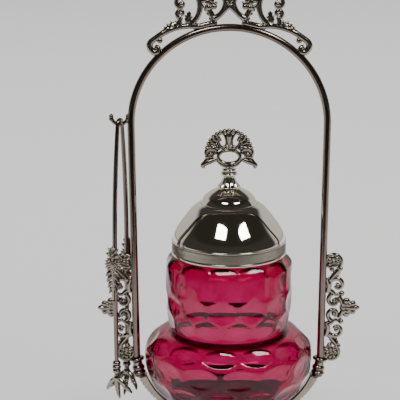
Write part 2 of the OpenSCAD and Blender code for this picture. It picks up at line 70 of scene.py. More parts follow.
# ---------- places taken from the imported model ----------

JAR_LOW, JAR_HIGH = node_box("glass_jar")
ROD_LOW, ROD_HIGH = node_box("arch_handle")
SEAT = JAR_LOW.z
MOUTH = JAR_HIGH.z
JAR_R = JAR_HIGH.x
BULB_H = 32.1           # widest point above the seat
BULB_LOW_R = 36         # profile radius below the widest point
BULB_TOP_R = 15.2       # profile radius above it
BULB_FOOT_R = 32.1      # radius where the lower curve meets the base
BODY_RISE = 29          # height of the curve from the waist out to the body
BULB = SEAT + BULB_H
WAIST = BULB + BULB_TOP_R
NECK = MOUTH - 5
SHOULDER = NECK - 6.5
BAND = node_box("lid_band")[0].z
BELL = node_box("lid_bell")[0].z
CROWN = node_box("finial_stem")[0].z
COLLAR = node_box("finial_collar")[0].z
FAN = node_box("finial_fan")[0].z
ROD_R = 2.25
ARCH_OUT = ROD_HIGH.x
ARCH_R = ARCH_OUT - ROD_R
ARCH = ROD_HIGH.z - ARCH_OUT
LEAN = math.radians(0.967)
TRAY = node_box("tray_saucer")[0].z
DOME_TOP = node_box("foot_dome")[1].z
FOOT_R = node_box("foot_rim")[1].x
SOCKET_TOP = SEAT + 29
SIDE_MID = SEAT + 61
SOCKET_LEAN = math.radians(9)
HOOK_R = 5
HOOK_X = -(ARCH_R + 6.8)
HOOK_Z = ARCH + 4.8
BOW_Z = HOOK_Z - 5.4
BOW_R = 3.2
TONG_TURN = math.radians(-23)
ANKLE = 7.4
BULGE = 1.2
KNUCKLE_TOP = node_box("tong_knuckle_back")[1].z
CLAW_TOP = node_box("tong_claw_back")[1].z
TOE_GAP = 3.1
ARM_CENTRE = (18, BULB + 2.4)   # centre of the arc of the cradle arms' outer face
ARM_OUT = 40.9                  # radius of that arc
ARM_HUG = 37.3                  # radius of the inner face, round the bulb's lower curve
ARM_ANGLES = (-61.5, -26.0)     # where the arc starts at the stem and ends at the socket
TRAY_FLAT = 33.4                # radius of the tray's flat, which the arms run under


def leg_x(z):
    """Distance of a handle leg's centre line from the middle, at a height."""
    top_x = ARCH_R * math.cos(LEAN)
    top_z = ARCH - ARCH_R * math.sin(LEAN)
    return top_x - (top_z - z) * math.tan(LEAN)


# ---------- settings a user would change ----------

class CastorSizes(bpy.types.PropertyGroup):
    """Sizes of the ornament and the pattern in the glass."""
    thumbprints: IntProperty(
        name="Thumbprints", description="Thumbprints in one row round the jar",
        default=13, min=6, max=24)
    thumb_depth: FloatProperty(
        name="Thumbprint depth", description="How far a thumbprint is pressed into the glass",
        default=0.0017, min=0.0, max=0.0025, unit="LENGTH")
    knurl_lines: IntProperty(
        name="Knurl lines", description="Slanting lines cut round the lid's band",
        default=150, min=60, max=300)
    foot_beads: IntProperty(
        name="Foot beads", description="Beads round the edge of the foot",
        default=84, min=24, max=120)
    cast_grain: FloatProperty(
        name="Side casting grain", description="Grid size that melts each side casting into one skin",
        default=0.00027, min=0.0002, max=0.0006, unit="LENGTH")


class CastorColours(bpy.types.PropertyGroup):
    """Colours of the metals, the glass and the stage."""
    silver: FloatVectorProperty(
        name="Silver", description="Clean polished plate", subtype="COLOR", size=3,
        default=(0.86, 0.84, 0.80), min=0, max=1)
    # painted shade: this near-black colour fills the recesses through the ambient occlusion mask, and also
    # tints the real tarnish smears
    tarnish: FloatVectorProperty(
        name="Tarnish", description="Tarnish and painted shade in the recesses", subtype="COLOR", size=3,
        default=(0.030, 0.021, 0.015), min=0, max=1)
    glass: FloatVectorProperty(
        name="Cranberry glass", description="Colour the glass lets through", subtype="COLOR", size=3,
        default=(1.0, 0.80, 0.90), min=0, max=1)
    dye: FloatVectorProperty(
        name="Glass dye", description="Colour that deepens with the glass's thickness",
        subtype="COLOR", size=3, default=(0.85, 0.07, 0.55), min=0, max=1)
    dye_strength: FloatProperty(
        name="Dye strength", description="Density of the dye, per metre", default=900.0, min=0.0)
    floor: FloatVectorProperty(
        name="Floor", description="Pale floor", subtype="COLOR", size=3,
        default=(0.66, 0.66, 0.66), min=0, max=1)


# ---------- modelling helpers ----------

def clear_selection():
    """Leaves edit mode and deselects everything."""
    if bpy.context.object and bpy.context.object.mode != "OBJECT":
        bpy.ops.object.mode_set(mode="OBJECT")
    bpy.ops.object.select_all(action="DESELECT")


def pick(piece):
    """Makes one piece the only selected and active one."""
    clear_selection()
    piece.select_set(True)
    bpy.context.view_layer.objects.active = piece


def tidy_mesh(piece, merge=0.002):
    """Merges doubles and turns every face outwards."""
    pick(piece)
    bpy.ops.object.mode_set(mode="EDIT")
    bpy.ops.mesh.select_all(action="SELECT")
    bpy.ops.mesh.remove_doubles(threshold=merge * MM)
    bpy.ops.mesh.dissolve_degenerate(threshold=merge * MM / 4)
    bpy.ops.mesh.normals_make_consistent(inside=False)
    bpy.ops.object.mode_set(mode="OBJECT")


def add_modifier(piece, kind, **values):
    """Adds a modifier, sets its values and applies it."""
    pick(piece)
    bpy.ops.object.modifier_add(type=kind)
    modifier = piece.modifiers[-1]
    for key, value in values.items():
        setattr(modifier, key, value)
    bpy.ops.object.modifier_apply(modifier=modifier.name)


def smooth_line(points, per=8):
    """A smooth line through the points, with per steps between each two."""
    path = []
    last = len(points) - 1
    for i in range(last):
        before, here = Vector(points[max(i - 1, 0)]), Vector(points[i])
        there, after = Vector(points[i + 1]), Vector(points[min(i + 2, last)])
        for k in range(per):
            t = k / per
            path.append(0.5 * ((2 * here) + (there - before) * t
                               + (2 * before - 5 * here + 4 * there - after) * t * t
                               + (3 * here - before - 3 * there + after) * t ** 3))
    path.append(Vector(points[last]))
    return path


def outline(points, per=6):
    """A smooth profile for the lathe, from (radius, height) pairs."""
    return [(max(p.x, 0.0), p.y) for p in smooth_line(points, per)]


def draw_profile(name, points):
    """Draws a profile of (radius, height) pairs, by extruding one corner from point to point."""
    clear_selection()
    bpy.ops.mesh.primitive_plane_add(size=MM, location=(0, 0, 0))
    piece = bpy.context.object
    piece.name = name
    bpy.ops.object.mode_set(mode="EDIT")
    bpy.ops.mesh.select_all(action="SELECT")
    bpy.ops.mesh.merge(type="CENTER")
    places = [Vector((r, 0, z)) * MM for r, z in points]
    bpy.ops.transform.translate(value=places[0])
    for here, there in zip(places, places[1:]):
        bpy.ops.mesh.extrude_region_move(TRANSFORM_OT_translate={"value": there - here})
    bpy.ops.object.mode_set(mode="OBJECT")
    return piece


def turn_on_lathe(name, points, steps=96, closed=True):
    """Spins a profile about the upright axis into a closed skin."""
    loop = list(points) + ([points[0]] if closed else [])
    piece = draw_profile(name, loop)
    pick(piece)
    bpy.ops.object.mode_set(mode="EDIT")
    bpy.ops.mesh.select_all(action="SELECT")
    bpy.ops.mesh.spin(steps=steps, angle=TURN, center=(0, 0, 0), axis=(0, 0, 1))
    bpy.ops.object.mode_set(mode="OBJECT")
    tidy_mesh(piece)
    return piece


def draw_tube(name, points, widths, sides=12):
    """A tube along the points, with a half width at each. One width serves for all."""
    if not isinstance(widths, (list, tuple)):
        widths = [widths]
    clear_selection()
    bpy.ops.curve.primitive_nurbs_path_add(location=(0, 0, 0))
    line = bpy.context.object
    line.name = name
    line.data.splines.clear()
    spline = line.data.splines.new("POLY")
    spline.points.add(len(points) - 1)
    last = max(len(points) - 1, 1)
    for i, (knot, place) in enumerate(zip(spline.points, points)):
        along = i / last * (len(widths) - 1)
        k = min(int(along), max(len(widths) - 2, 0))
        knot.radius = widths[k] + (widths[min(k + 1, len(widths) - 1)] - widths[k]) * (along - k)
        knot.co = (place[0] * MM, place[1] * MM, place[2] * MM, 1)
    line.data.dimensions = "3D"
    line.data.bevel_depth = MM
    line.data.bevel_resolution = max((sides - 4) // 2, 0)
    line.data.use_fill_caps = True
    bpy.ops.object.convert(target="MESH")
    piece = bpy.context.object
    tidy_mesh(piece, 0.001)
    return piece


def curl(cx, cz, r0, r1, a0, a1, steps):
    """Points of a spiral about (cx, cz), from radius r0 at angle a0 to r1 at a1, in degrees."""
    path = []
    for i in range(steps + 1):
        t = i / steps
        radius = r0 * (r1 / r0) ** t
        angle = math.radians(a0 + (a1 - a0) * t)
        path.append((cx + radius * math.cos(angle), cz + radius * math.sin(angle)))
    return path


def blob(place, size, turn=0.0, rough=2):
    """A rounded lump at (x, y, z), with half sizes (x, y, z), turned in the upright plane."""
    clear_selection()
    bpy.ops.mesh.primitive_ico_sphere_add(subdivisions=rough, radius=MM)
    lump = bpy.context.object
    shape = Matrix.Translation(Vector(place) * MM) @ Matrix.Rotation(math.radians(-turn), 4, "Y")
    lump.data.transform(shape @ Matrix.Diagonal((*size, 1)))
    return lump


def join(name, parts):
    """Joins parts into one mesh."""
    clear_selection()
    for part in parts:
        part.select_set(True)
    bpy.context.view_layer.objects.active = parts[0]
    bpy.ops.object.join()
    parts[0].name = name
    return parts[0]


def copy_of(piece, name, matrix):
    """A copy with its own mesh, moved by a matrix that may mirror it."""
    twin = piece.copy()
    twin.data = piece.data.copy()
    twin.name = name
    bpy.context.collection.objects.link(twin)
    twin.data.transform(matrix)
    if matrix.determinant() < 0:
        twin.data.flip_normals()
    return twin


def cast(piece, grain, swell=0.0, soften=2):
    """Melts a casting's joined parts into one skin, swells it and softens it, as a mould does."""
    add_modifier(piece, "REMESH", mode="VOXEL", voxel_size=grain, use_smooth_shade=True)
    if swell:
        add_modifier(piece, "DISPLACE", strength=swell * MM, mid_level=0.0, direction="NORMAL")
    add_modifier(piece, "SMOOTH", factor=0.5, iterations=soften)
    return piece


def fit(piece, body, material, nodes, sharp=40):
    """Sets a finished piece on its body, with its finish (a metal's name or a material) and its nodes."""
    pick(piece)
    bpy.ops.object.transform_apply(location=True, rotation=True, scale=True)
    bpy.ops.object.shade_smooth_by_angle(angle=math.radians(sharp))
    piece.data.name = piece.name
    piece.data.materials.clear()
    piece.data.materials.append(finish_of(material) if isinstance(material, str) else material)
    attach(piece, body)
    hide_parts(*nodes)
    return piece


# ---------- finishes ----------

def new_group(name, inputs, outputs):
    """A shader node group with named sockets. Returns its tree, group input and group output."""
    tree = bpy.data.node_groups.new(name, "ShaderNodeTree")
    for label, kind, value in inputs:
        socket = tree.interface.new_socket(name=label, in_out="INPUT", socket_type=kind)
        socket.default_value = value
    for label, kind in outputs:
        tree.interface.new_socket(name=label, in_out="OUTPUT", socket_type=kind)
    return tree, tree.nodes.new("NodeGroupInput"), tree.nodes.new("NodeGroupOutput")


def add_node(tree, kind, settings=(), **inputs):
    """A node with its settings, and its inputs set or linked by name."""
    node = tree.nodes.new(kind)
    for key, value in dict(settings).items():
        setattr(node, key, value)
    for key, value in inputs.items():
        by_number = key[0] == "i" and key[1:].isdigit()
        socket = node.inputs[int(key[1:]) if by_number else key.replace("_", " ")]
        if isinstance(value, bpy.types.NodeSocket):
            tree.links.new(value, socket)
        else:
            socket.default_value = value
    return node


def silver_wear_group():
    """Painted shade and tarnish in recesses, drifting smears of tarnish, polishing marks and their bump, for
    every plated metal.
    """
    if "Silver Wear" in bpy.data.node_groups:
        return bpy.data.node_groups["Silver Wear"]
    tree, given, out = new_group(
        "Silver Wear",
        (("Clean", "NodeSocketColor", (0.8, 0.8, 0.8, 1)), ("Tarnish", "NodeSocketColor", (0.1, 0.1, 0.1, 1)),
         ("Recess", "NodeSocketFloat", 1.0), ("Reach", "NodeSocketFloat", 0.002),
         ("Smear", "NodeSocketFloat", 0.2), ("Gloss", "NodeSocketFloat", 0.1),
         ("Marks", "NodeSocketFloat", 0.1)),
        (("Colour", "NodeSocketColor"), ("Roughness", "NodeSocketFloat"), ("Normal", "NodeSocketVector")))
    link = tree.links.new
    place = add_node(tree, "ShaderNodeTexCoord").outputs["Object"]
    # painted shade and tarnish in recesses, from how much of the sky each point sees
    open_sky = add_node(tree, "ShaderNodeAmbientOcclusion", {"samples": 6, "only_local": True},
                        Distance=given.outputs["Reach"])
    # painted shade: darkens the colour where ambient occlusion finds a recess
    recess = add_node(tree, "ShaderNodeMapRange", {"interpolation_type": "SMOOTHSTEP"},
                      Value=open_sky.outputs["AO"], From_Min=0.97, From_Max=0.58)
    strength = add_node(tree, "ShaderNodeMath", {"operation": "MULTIPLY"},
                        i0=recess.outputs["Result"], i1=given.outputs["Recess"])
    # broad smears of thin tarnish
    cloud = add_node(tree, "ShaderNodeTexNoise", Vector=place, Scale=55.0, Detail=5.0, Roughness=0.62)
    thin = add_node(tree, "ShaderNodeMapRange", Value=cloud.outputs["Fac"], From_Min=0.42, From_Max=0.78)
    smear = add_node(tree, "ShaderNodeMath", {"operation": "MULTIPLY"},
                     i0=thin.outputs["Result"], i1=given.outputs["Smear"])
    # the larger of the painted recess shade and the real tarnish smear
    total = add_node(tree, "ShaderNodeMath", {"operation": "MAXIMUM"},
                     i0=strength.outputs[0], i1=smear.outputs[0])
    colour = add_node(tree, "ShaderNodeMix", {"data_type": "RGBA"})
    link(total.outputs[0], colour.inputs[0])
    link(given.outputs["Clean"], colour.inputs[6])
    link(given.outputs["Tarnish"], colour.inputs[7])
    # polishing marks: fine stretched noise, in the gloss and in the bump
    fine = add_node(tree, "ShaderNodeMapping", Vector=place, Scale=(2600, 2600, 500))
    marks = add_node(tree, "ShaderNodeTexNoise", Vector=fine.outputs["Vector"], Scale=1.0, Detail=3.0)
    spread = add_node(tree, "ShaderNodeMapRange", Value=marks.outputs["Fac"], From_Min=0.35, From_Max=0.75)
    fleck = add_node(tree, "ShaderNodeMath", {"operation": "MULTIPLY"},
                     i0=spread.outputs["Result"], i1=given.outputs["Marks"])
    dull = add_node(tree, "ShaderNodeMath", {"operation": "MULTIPLY_ADD"}, i0=total.outputs[0], i1=0.42,
                    i2=given.outputs["Gloss"])
    rough = add_node(tree, "ShaderNodeMath", {"operation": "ADD"}, i0=dull.outputs[0], i1=fleck.outputs[0])
    bump = add_node(tree, "ShaderNodeBump", Strength=0.12, Distance=0.00003, Height=marks.outputs["Fac"])
    link(colour.outputs[2], out.inputs["Colour"])
    link(rough.outputs[0], out.inputs["Roughness"])
    link(bump.outputs["Normal"], out.inputs["Normal"])
    return tree


def metal(name, clean, tarnish, recess, reach, smear, gloss, marks):
    """A plated or plain metal that takes tarnish, wear and painted recess shade from the shared group."""
    if name in bpy.data.materials:
        return bpy.data.materials[name]
    material = bpy.data.materials.new(name)
    material.use_nodes = True
    tree = material.node_tree
    shader = tree.nodes["Principled BSDF"]
    wear = tree.nodes.new("ShaderNodeGroup")
    wear.node_tree = silver_wear_group()
    wear.inputs["Clean"].default_value = (*clean, 1)
    wear.inputs["Tarnish"].default_value = (*tarnish, 1)
    for key, value in (("Recess", recess), ("Reach", reach * MM), ("Smear", smear), ("Gloss", gloss),
                       ("Marks", marks)):
        wear.inputs[key].default_value = value
    tree.links.new(wear.outputs["Colour"], shader.inputs["Base Color"])
    tree.links.new(wear.outputs["Roughness"], shader.inputs["Roughness"])
    tree.links.new(wear.outputs["Normal"], shader.inputs["Normal"])
    shader.inputs["Metallic"].default_value = 1.0
    return material


# silver plates: share of the silver's colour, then recess shade (painted shade and tarnish in recesses),
# reach, smear, gloss and marks
PLATES = {
    "Bright plate": ((1.0, 0.97, 0.88), 0.9, 1.2, 0.04, 0.03, 0.02),        # buffed, on the lid
    "Knurled plate": ((0.86, 0.81, 0.70), 2.2, 1.0, 0.06, 0.12, 0.04),      # painted shade and tarnish between its ridges
    "Rubbed plate": ((0.30, 0.25, 0.225), 1.0, 2.0, 0.25, 0.10, 0.07),      # handle and frame; its dark brown is partly tarnish, partly painted dark reflection
    "Cast plate": ((0.50, 0.455, 0.395), 1.25, 1.9, 0.45, 0.09, 0.08),      # castings, with painted shade and tarnish in recesses
}
# metals of the fasteners: colour, tarnish and painted recess shade, then the same five
BARE_METALS = {
    "Plain steel": ((0.56, 0.56, 0.55), (0.12, 0.09, 0.07), 0.6, 1.0, 0.3, 0.28, 0.15),
    "Nut brass": ((0.68, 0.48, 0.20), (0.10, 0.06, 0.03), 0.7, 1.0, 0.4, 0.30, 0.15),
}


def finish_of(name):
    """The named metal finish. A plate takes its colour and its tarnish-and-painted-shade colour from the
    settings.
    """
    if name in BARE_METALS:
        return metal(name, *BARE_METALS[name])
    colours = bpy.context.scene.castor_colours
    tint, *wear = PLATES[name]
    return metal(name, [c * f for c, f in zip(colours.silver, tint)], colours.tarnish, *wear)


def cranberry_glass():
    """Clear cranberry glass: a light tint at the skin and a dye that deepens inside."""
    if "Cranberry glass" in bpy.data.materials:
        return bpy.data.materials["Cranberry glass"]
    colours = bpy.context.scene.castor_colours
    material = bpy.data.materials.new("Cranberry glass")
    material.use_nodes = True
    tree = material.node_tree
    shader = tree.nodes["Principled BSDF"]
    shader.inputs["Metallic"].default_value = 0.0
    shader.inputs["Transmission Weight"].default_value = 1.0
    shader.inputs["IOR"].default_value = 1.5
    shader.inputs["Specular IOR Level"].default_value = 0.3
    place = add_node(tree, "ShaderNodeTexCoord").outputs["Object"]
    # faint streaks in the dye, and the slow ripple of blown glass
    stretch = add_node(tree, "ShaderNodeMapping", Vector=place, Scale=(30, 30, 9))
    streak = add_node(tree, "ShaderNodeTexNoise", Vector=stretch.outputs["Vector"], Scale=1.0, Detail=3.0)
    tint = add_node(tree, "ShaderNodeValToRGB", Fac=streak.outputs["Fac"])
    tint.color_ramp.elements[0].position, tint.color_ramp.elements[1].position = 0.3, 0.7
    tint.color_ramp.elements[0].color = (*[c * 0.93 for c in colours.glass], 1)
    tint.color_ramp.elements[1].color = (*colours.glass, 1)
    tree.links.new(tint.outputs["Color"], shader.inputs["Base Color"])
    ripple = add_node(tree, "ShaderNodeTexNoise", Vector=place, Scale=70.0, Detail=2.0)
    smooth = add_node(tree, "ShaderNodeMapRange", Value=ripple.outputs["Fac"], To_Min=0.0, To_Max=0.03)
    tree.links.new(smooth.outputs["Result"], shader.inputs["Roughness"])
    bump = add_node(tree, "ShaderNodeBump", Strength=0.25, Distance=0.0006, Height=ripple.outputs["Fac"])
    tree.links.new(bump.outputs["Normal"], shader.inputs["Normal"])
    dye = add_node(tree, "ShaderNodeVolumeAbsorption", Color=(*colours.dye, 1), Density=colours.dye_strength)
    tree.links.new(dye.outputs["Volume"], tree.nodes["Material Output"].inputs["Volume"])
    return material


# ---------- shapes shared by the castings ----------

def oval_line(cx, cz, rx, rz, a0, a1, steps):
    """Points of an oval about (cx, cz), between two angles in degrees."""
    turns = [math.radians(a0 + (a1 - a0) * i / steps) for i in range(steps + 1)]
    return [(cx + rx * math.cos(a), cz + rz * math.sin(a)) for a in turns]


def arc_line(cx, cz, radius, a0, a1, steps):
    """Points of an arc about (cx, cz), between two angles in degrees."""
    return oval_line(cx, cz, radius, radius, a0, a1, steps)


def strand(points, widths, depth=1.0, y=0.0):
    """A cast bar through (x, z) points, as deep as its width times depth."""
    piece = draw_tube("strand", [(p.x, 0.0, p.y) for p in smooth_line(points, 5)], widths)
    piece.data.transform(Matrix.Translation((0, y * MM, 0)) @ Matrix.Diagonal((1, depth, 1, 1)))
    return piece


def ball(x, z, radius, depth=None, y=0.0):
    """A cast bead at (x, z), half as deep as depth."""
    return blob((x, y, z), (radius, depth or radius, radius), rough=3)


def petal(cx, cz, reach, angle, length, width, depth, y):
    """One petal, pointing away from (cx, cz)."""
    a = math.radians(angle)
    return blob((cx + reach * math.cos(a), y, cz + reach * math.sin(a)), (length, depth, width), angle)


def rosette(cx, cz, radius, petals, depth):
    """A small flower: a dished disc, a ring of petals and a raised eye, on both faces."""
    parts = [blob((cx, 0.0, cz), (radius * 0.82, depth * 0.5, radius * 0.82), rough=3)]
    for k in range(petals):
        for face in (-1, 1):
            parts.append(petal(cx, cz, radius * 0.66, 360 * k / petals, radius * 0.34,
                               radius * 1.9 / petals, depth * 0.55, face * depth * 0.38))
    for face in (-1, 1):
        parts.append(ball(cx, cz, radius * 0.27, depth * 0.5, face * depth * 0.45))
    return parts


def leaf(points, width, depth, lobes, side):
    """A curved leaf: a tapered rib, with rounded lobes down one side or both."""
    parts = [strand(points, [width * 0.35, width * 0.7, width * 0.6, width * 0.15], depth)]
    path = smooth_line(points, 10)
    for k in range(lobes):
        t = (k + 0.7) / (lobes + 0.4)
        i = min(int(t * (len(path) - 1)), len(path) - 2)
        here, ahead = path[i], path[i + 1]
        run = math.degrees(math.atan2(ahead.y - here.y, ahead.x - here.x))
        grow = math.sin(math.pi * min(t + 0.12, 1.0)) * 0.55 + 0.45
        for way in ((-1, 1) if side == 0 else (side,)):
            a = math.radians(run + way * 52)
            size = width * grow
            parts.append(blob((here.x + math.cos(a) * size * 0.7, 0.0, here.y + math.sin(a) * size * 0.7),
                              (size * 0.72, depth * size * 0.42, size * 0.34), run + way * 52))
    return parts


def place_copies(name, pattern, matrices):
    """One mesh of a pattern repeated at each matrix. The pattern itself is used up."""
    copies = [copy_of(pattern, name, matrix) for matrix in matrices]
    bpy.data.objects.remove(pattern)
    return join(name, copies)


def move_points(piece, rule):
    """Moves each point of a mesh by a rule from its place, in millimetres, to a new one."""
    for corner in piece.data.vertices:
        corner.co = rule(corner.co / MM) * MM
    piece.data.update()


# ---------- foot, pedestal and cradle ----------

class CASTOR_OT_foot(bpy.types.Operator):
    """Beaded rim, fluted dome and turned stem of the foot"""
    bl_idname = "castor.foot"
    bl_label = "Foot"

    def execute(self, context):
        sizes = context.scene.castor_sizes
        rim_h = node_box("foot_rim")[1].z
        inner = FOOT_R - 3.9
        rim = turn_on_lathe("foot_rim_beaded", outline(
            [(inner, 0.1), (FOOT_R - 0.9, 0.02), (FOOT_R - 0.2, 0.5), (FOOT_R - 0.4, 1.1),
             (FOOT_R - 1.6, 1.5), (FOOT_R - 2.4, 2.4), (FOOT_R - 2.5, 3.6), (FOOT_R - 3.1, rim_h - 0.1),
             (inner, rim_h)], 3), 128)
        clear_selection()
        bpy.ops.mesh.primitive_uv_sphere_add(segments=12, ring_count=8, radius=1.42 * MM)
        out = Matrix.Translation(Vector((FOOT_R - 1.7, 0, 2.75)) * MM)
        beads = place_copies("foot_beads", bpy.context.object, [
            Matrix.Rotation(TURN * k / sizes.foot_beads, 4, "Z") @ out for k in range(sizes.foot_beads)])
        fit(join("foot_rim_beaded", [rim, beads]), "frame", "Rubbed plate", ["foot_rim"])
        fit(self.dome(rim_h), "frame", "Rubbed plate", ["foot_dome"], 60)
        fit(self.stem(), "frame", "Rubbed plate", ["pedestal_stem"], 60)
        return {"FINISHED"}

    def dome(self, rim_h):
        """The dome over the foot: a stepped edge, a fluted swell and a ringed top."""
        top = DOME_TOP
        skin = outline([(FOOT_R - 2.7, rim_h), (FOOT_R - 2.7, rim_h + 0.9), (FOOT_R - 4.0, rim_h + 1.1),
                        (FOOT_R - 5.6, rim_h + 0.8), (FOOT_R - 6.6, rim_h + 1.6), (FOOT_R - 9, rim_h + 3.9),
                        (FOOT_R - 14, rim_h + 6.0), (FOOT_R - 21, rim_h + 7.2), (FOOT_R - 28, rim_h + 7.7),
                        (15.4, rim_h + 7.9), (12.2, rim_h + 8.3), (10.2, rim_h + 8.9), (9.3, top)], 5)
        under = [(9.0, top - 1.2), (15, top - 2.9), (FOOT_R - 22, rim_h + 5.9), (FOOT_R - 14, rim_h + 4.8),
                 (FOOT_R - 9.6, rim_h + 2.6), (FOOT_R - 6.6, rim_h)]
        piece = turn_on_lathe("foot_dome_fluted", skin + [(2.1, top), (2.1, top - 1.2)] + under, 240)
        low, high = FOOT_R - 24, FOOT_R - 6.4

        def flute(p):
            reach = math.hypot(p.x, p.y)
            if p.z < rim_h + 1.2 or reach < low or reach > high:
                return p
            along = (reach - low) / (high - low)
            swell = math.sin(math.pi * along) ** 0.6
            wave = abs(math.sin(math.atan2(p.y, p.x) * 20))
            return Vector((p.x, p.y, p.z - 0.75 * swell * (1 - wave) ** 1.5))
        move_points(piece, flute)
        return piece

    def stem(self):
        """The waisted pedestal, with a knop between two reels."""
        base, top = DOME_TOP, TRAY
        mid = (base + top) / 2
        skin = outline([(9.0, base), (9.0, base + 0.9), (8.2, base + 1.3), (6.2, base + 1.9),
                        (4.9, base + 3.4), (4.7, base + 4.6), (5.4, base + 5.0), (5.5, base + 5.5),
                        (6.6, mid - 1.9), (7.9, mid - 0.7), (8.1, mid), (7.9, mid + 0.7), (6.6, mid + 1.9),
                        (5.5, top - 5.4), (5.4, top - 4.9), (4.7, top - 4.5), (5.0, top - 3.2),
                        (6.4, top - 1.9), (8.4, top - 1.3), (9.0, top - 0.8), (9.0, top)], 4)
        return turn_on_lathe("pedestal_turned", skin + [(2.1, top), (2.1, base)], 96)


def arm_line(t):
    """Inner and outer point of a cradle arm's side outline, t along it from the stem to the socket."""
    bulb = Vector((JAR_R - BULB_LOW_R, BULB))
    start, end = ARM_ANGLES
    a = math.radians(start + (end - start) * t)
    outer = Vector((ARM_CENTRE[0] + ARM_OUT * math.cos(a), ARM_CENTRE[1] + ARM_OUT * math.sin(a)))
    inner = bulb + (outer - bulb).normalized() * ARM_HUG
    return inner, outer


def cradle_arm_shape():
    """The right arm: a strap under the tray that climbs round the glass."""
    clear_selection()
    steps = 30
    low = [(9.4, TRAY - 2.9), (22, TRAY - 2.9)]
    outer, inner = [], []
    for i in range(steps + 1):
        near, far = arm_line(i / steps)
        inner.append((near.x, max(near.y, TRAY)) if near.x > TRAY_FLAT else (near.x, TRAY))
        outer.append((far.x, far.y))
    ring = low + outer + inner[::-1] + [(9.4, TRAY)]
    piece = draw_profile("arm", ring + [ring[0]])
    pick(piece)
    bpy.ops.object.mode_set(mode="EDIT")
    bpy.ops.mesh.select_all(action="SELECT")
    bpy.ops.mesh.remove_doubles(threshold=0.01 * MM)
    bpy.ops.mesh.edge_face_add()
    bpy.ops.transform.translate(value=(0, -6 * MM, 0))
    bpy.ops.mesh.extrude_region_move(TRANSFORM_OT_translate={"value": (0, 12 * MM, 0)})
    bpy.ops.object.mode_set(mode="OBJECT")
    tidy_mesh(piece, 0.01)

    def taper(p):
        return Vector((p.x, p.y * arm_width(p.x) / 6, p.z))
    move_points(piece, taper)
    add_modifier(piece, "BEVEL", width=1.3 * MM, segments=4, angle_limit=math.radians(40))
    return piece


def arm_width(x):
    """Half width of a cradle arm, at a distance from the middle."""
    return 5.9 if x < 34 else 5.9 - (x - 34) / 20 * 2.5


class CASTOR_OT_cradle(bpy.types.Operator):
    """The two arms that hold the jar, and the ferrules on their ends"""
    bl_idname = "castor.cradle"
    bl_label = "Cradle arms and ferrules"

    def execute(self, context):
        parts = [cradle_arm_shape()]
        # a row of beads along each edge of the outer face, and a running leaf down the middle
        run = [arm_line(i / 60)[1] for i in range(61)]
        length = 0.0
        spots = []
        for here, there in zip(run, run[1:]):
            length += (there - here).length
            if length > 2.15:
                length = 0.0
                spots.append(there)
        for spot in spots:
            for way in (-1, 1):
                place = (spot.x - 0.35, way * (arm_width(spot.x) - 1.1), spot.y + 0.15)
                parts.append(blob(place, (1.1, 1.1, 1.1)))
        for here in spots[1:-1:2]:
            a = math.degrees(math.atan2(here.y - BULB - 2.4, here.x - ARM_CENTRE[0])) + 90
            parts.append(blob((here.x - 0.3, 0, here.y + 0.1), (1.9, 2.2, 0.8), a))
        arm = cast(join("cradle_arm_beaded", parts), 0.0003)
        left = copy_of(arm, "cradle_arm_left_beaded", MIRROR_X)
        arm.name = "cradle_arm_right_beaded"
        fit(arm, "frame", "Cast plate", ["cradle_arm_right"])
        fit(left, "frame", "Cast plate", ["cradle_arm_left"])
        self.ferrules()
        return {"FINISHED"}

    def ferrules(self):
        """Turned ferrules: a beaded cap over three rings."""
        skin = outline([(2.3, 0), (3.6, -0.02), (4.2, -0.25), (4.55, -0.8), (4.5, -1.4), (4.0, -2.0),
                        (3.1, -2.5), (2.85, -3.2), (2.9, -4.6), (3.1, -5.3), (3.75, -6.2), (3.85, -7.0),
                        (3.7, -7.8), (3.1, -8.4), (3.6, -9.0), (4.1, -9.7), (3.9, -10.6), (3.2, -11.2),
                        (3.25, -12.0), (2.6, -12.45)], 4)
        ferrule = turn_on_lathe("ferrule", skin + [(0, -12.45), (0, -6.6), (2.3, -6.6)], 48)
        for side, name in ((-1, "left"), (1, "right")):
            place = (Matrix.Translation(Vector((side * leg_x(SOCKET_TOP), 0, SOCKET_TOP)) * MM)
                     @ Matrix.Rotation(side * SOCKET_LEAN, 4, "Y"))
            piece = copy_of(ferrule, "socket_%s_turned" % name, place)
            fit(piece, "frame", "Rubbed plate", ["socket_%s" % name], 60)
        bpy.data.objects.remove(ferrule)


# ---------- handle and its castings ----------

def lean_about(side, z=0.0):
    """Stands a piece drawn beside an upright leg on the real, leaning one."""
    return (Matrix.Translation(Vector((side * leg_x(z), 0, z)) * MM)
            @ Matrix.Rotation(side * LEAN, 4, "Y"))


class CASTOR_OT_handle(bpy.types.Operator):
    """The round rod of the handle, bent in an arch"""
    bl_idname = "castor.handle"
    bl_label = "Handle"

    def execute(self, context):
        foot = ROD_LOW.z
        path = [(leg_x(z), 0, z) for z in (foot, foot + 30, foot + 60, foot + 90, foot + 120)]
        for i in range(97):
            a = -LEAN + (math.pi + 2 * LEAN) * i / 96
            path.append((ARCH_R * math.cos(a), 0, ARCH + ARCH_R * math.sin(a)))
        path += [(-leg_x(z), 0, z) for z in (foot + 120, foot + 90, foot + 60, foot + 30, foot)]
        rod = draw_tube("arch_rod", path, ROD_R, 28)
        fit(rod, "frame", "Rubbed plate", ["arch_handle"], 60)
        return {"FINISHED"}


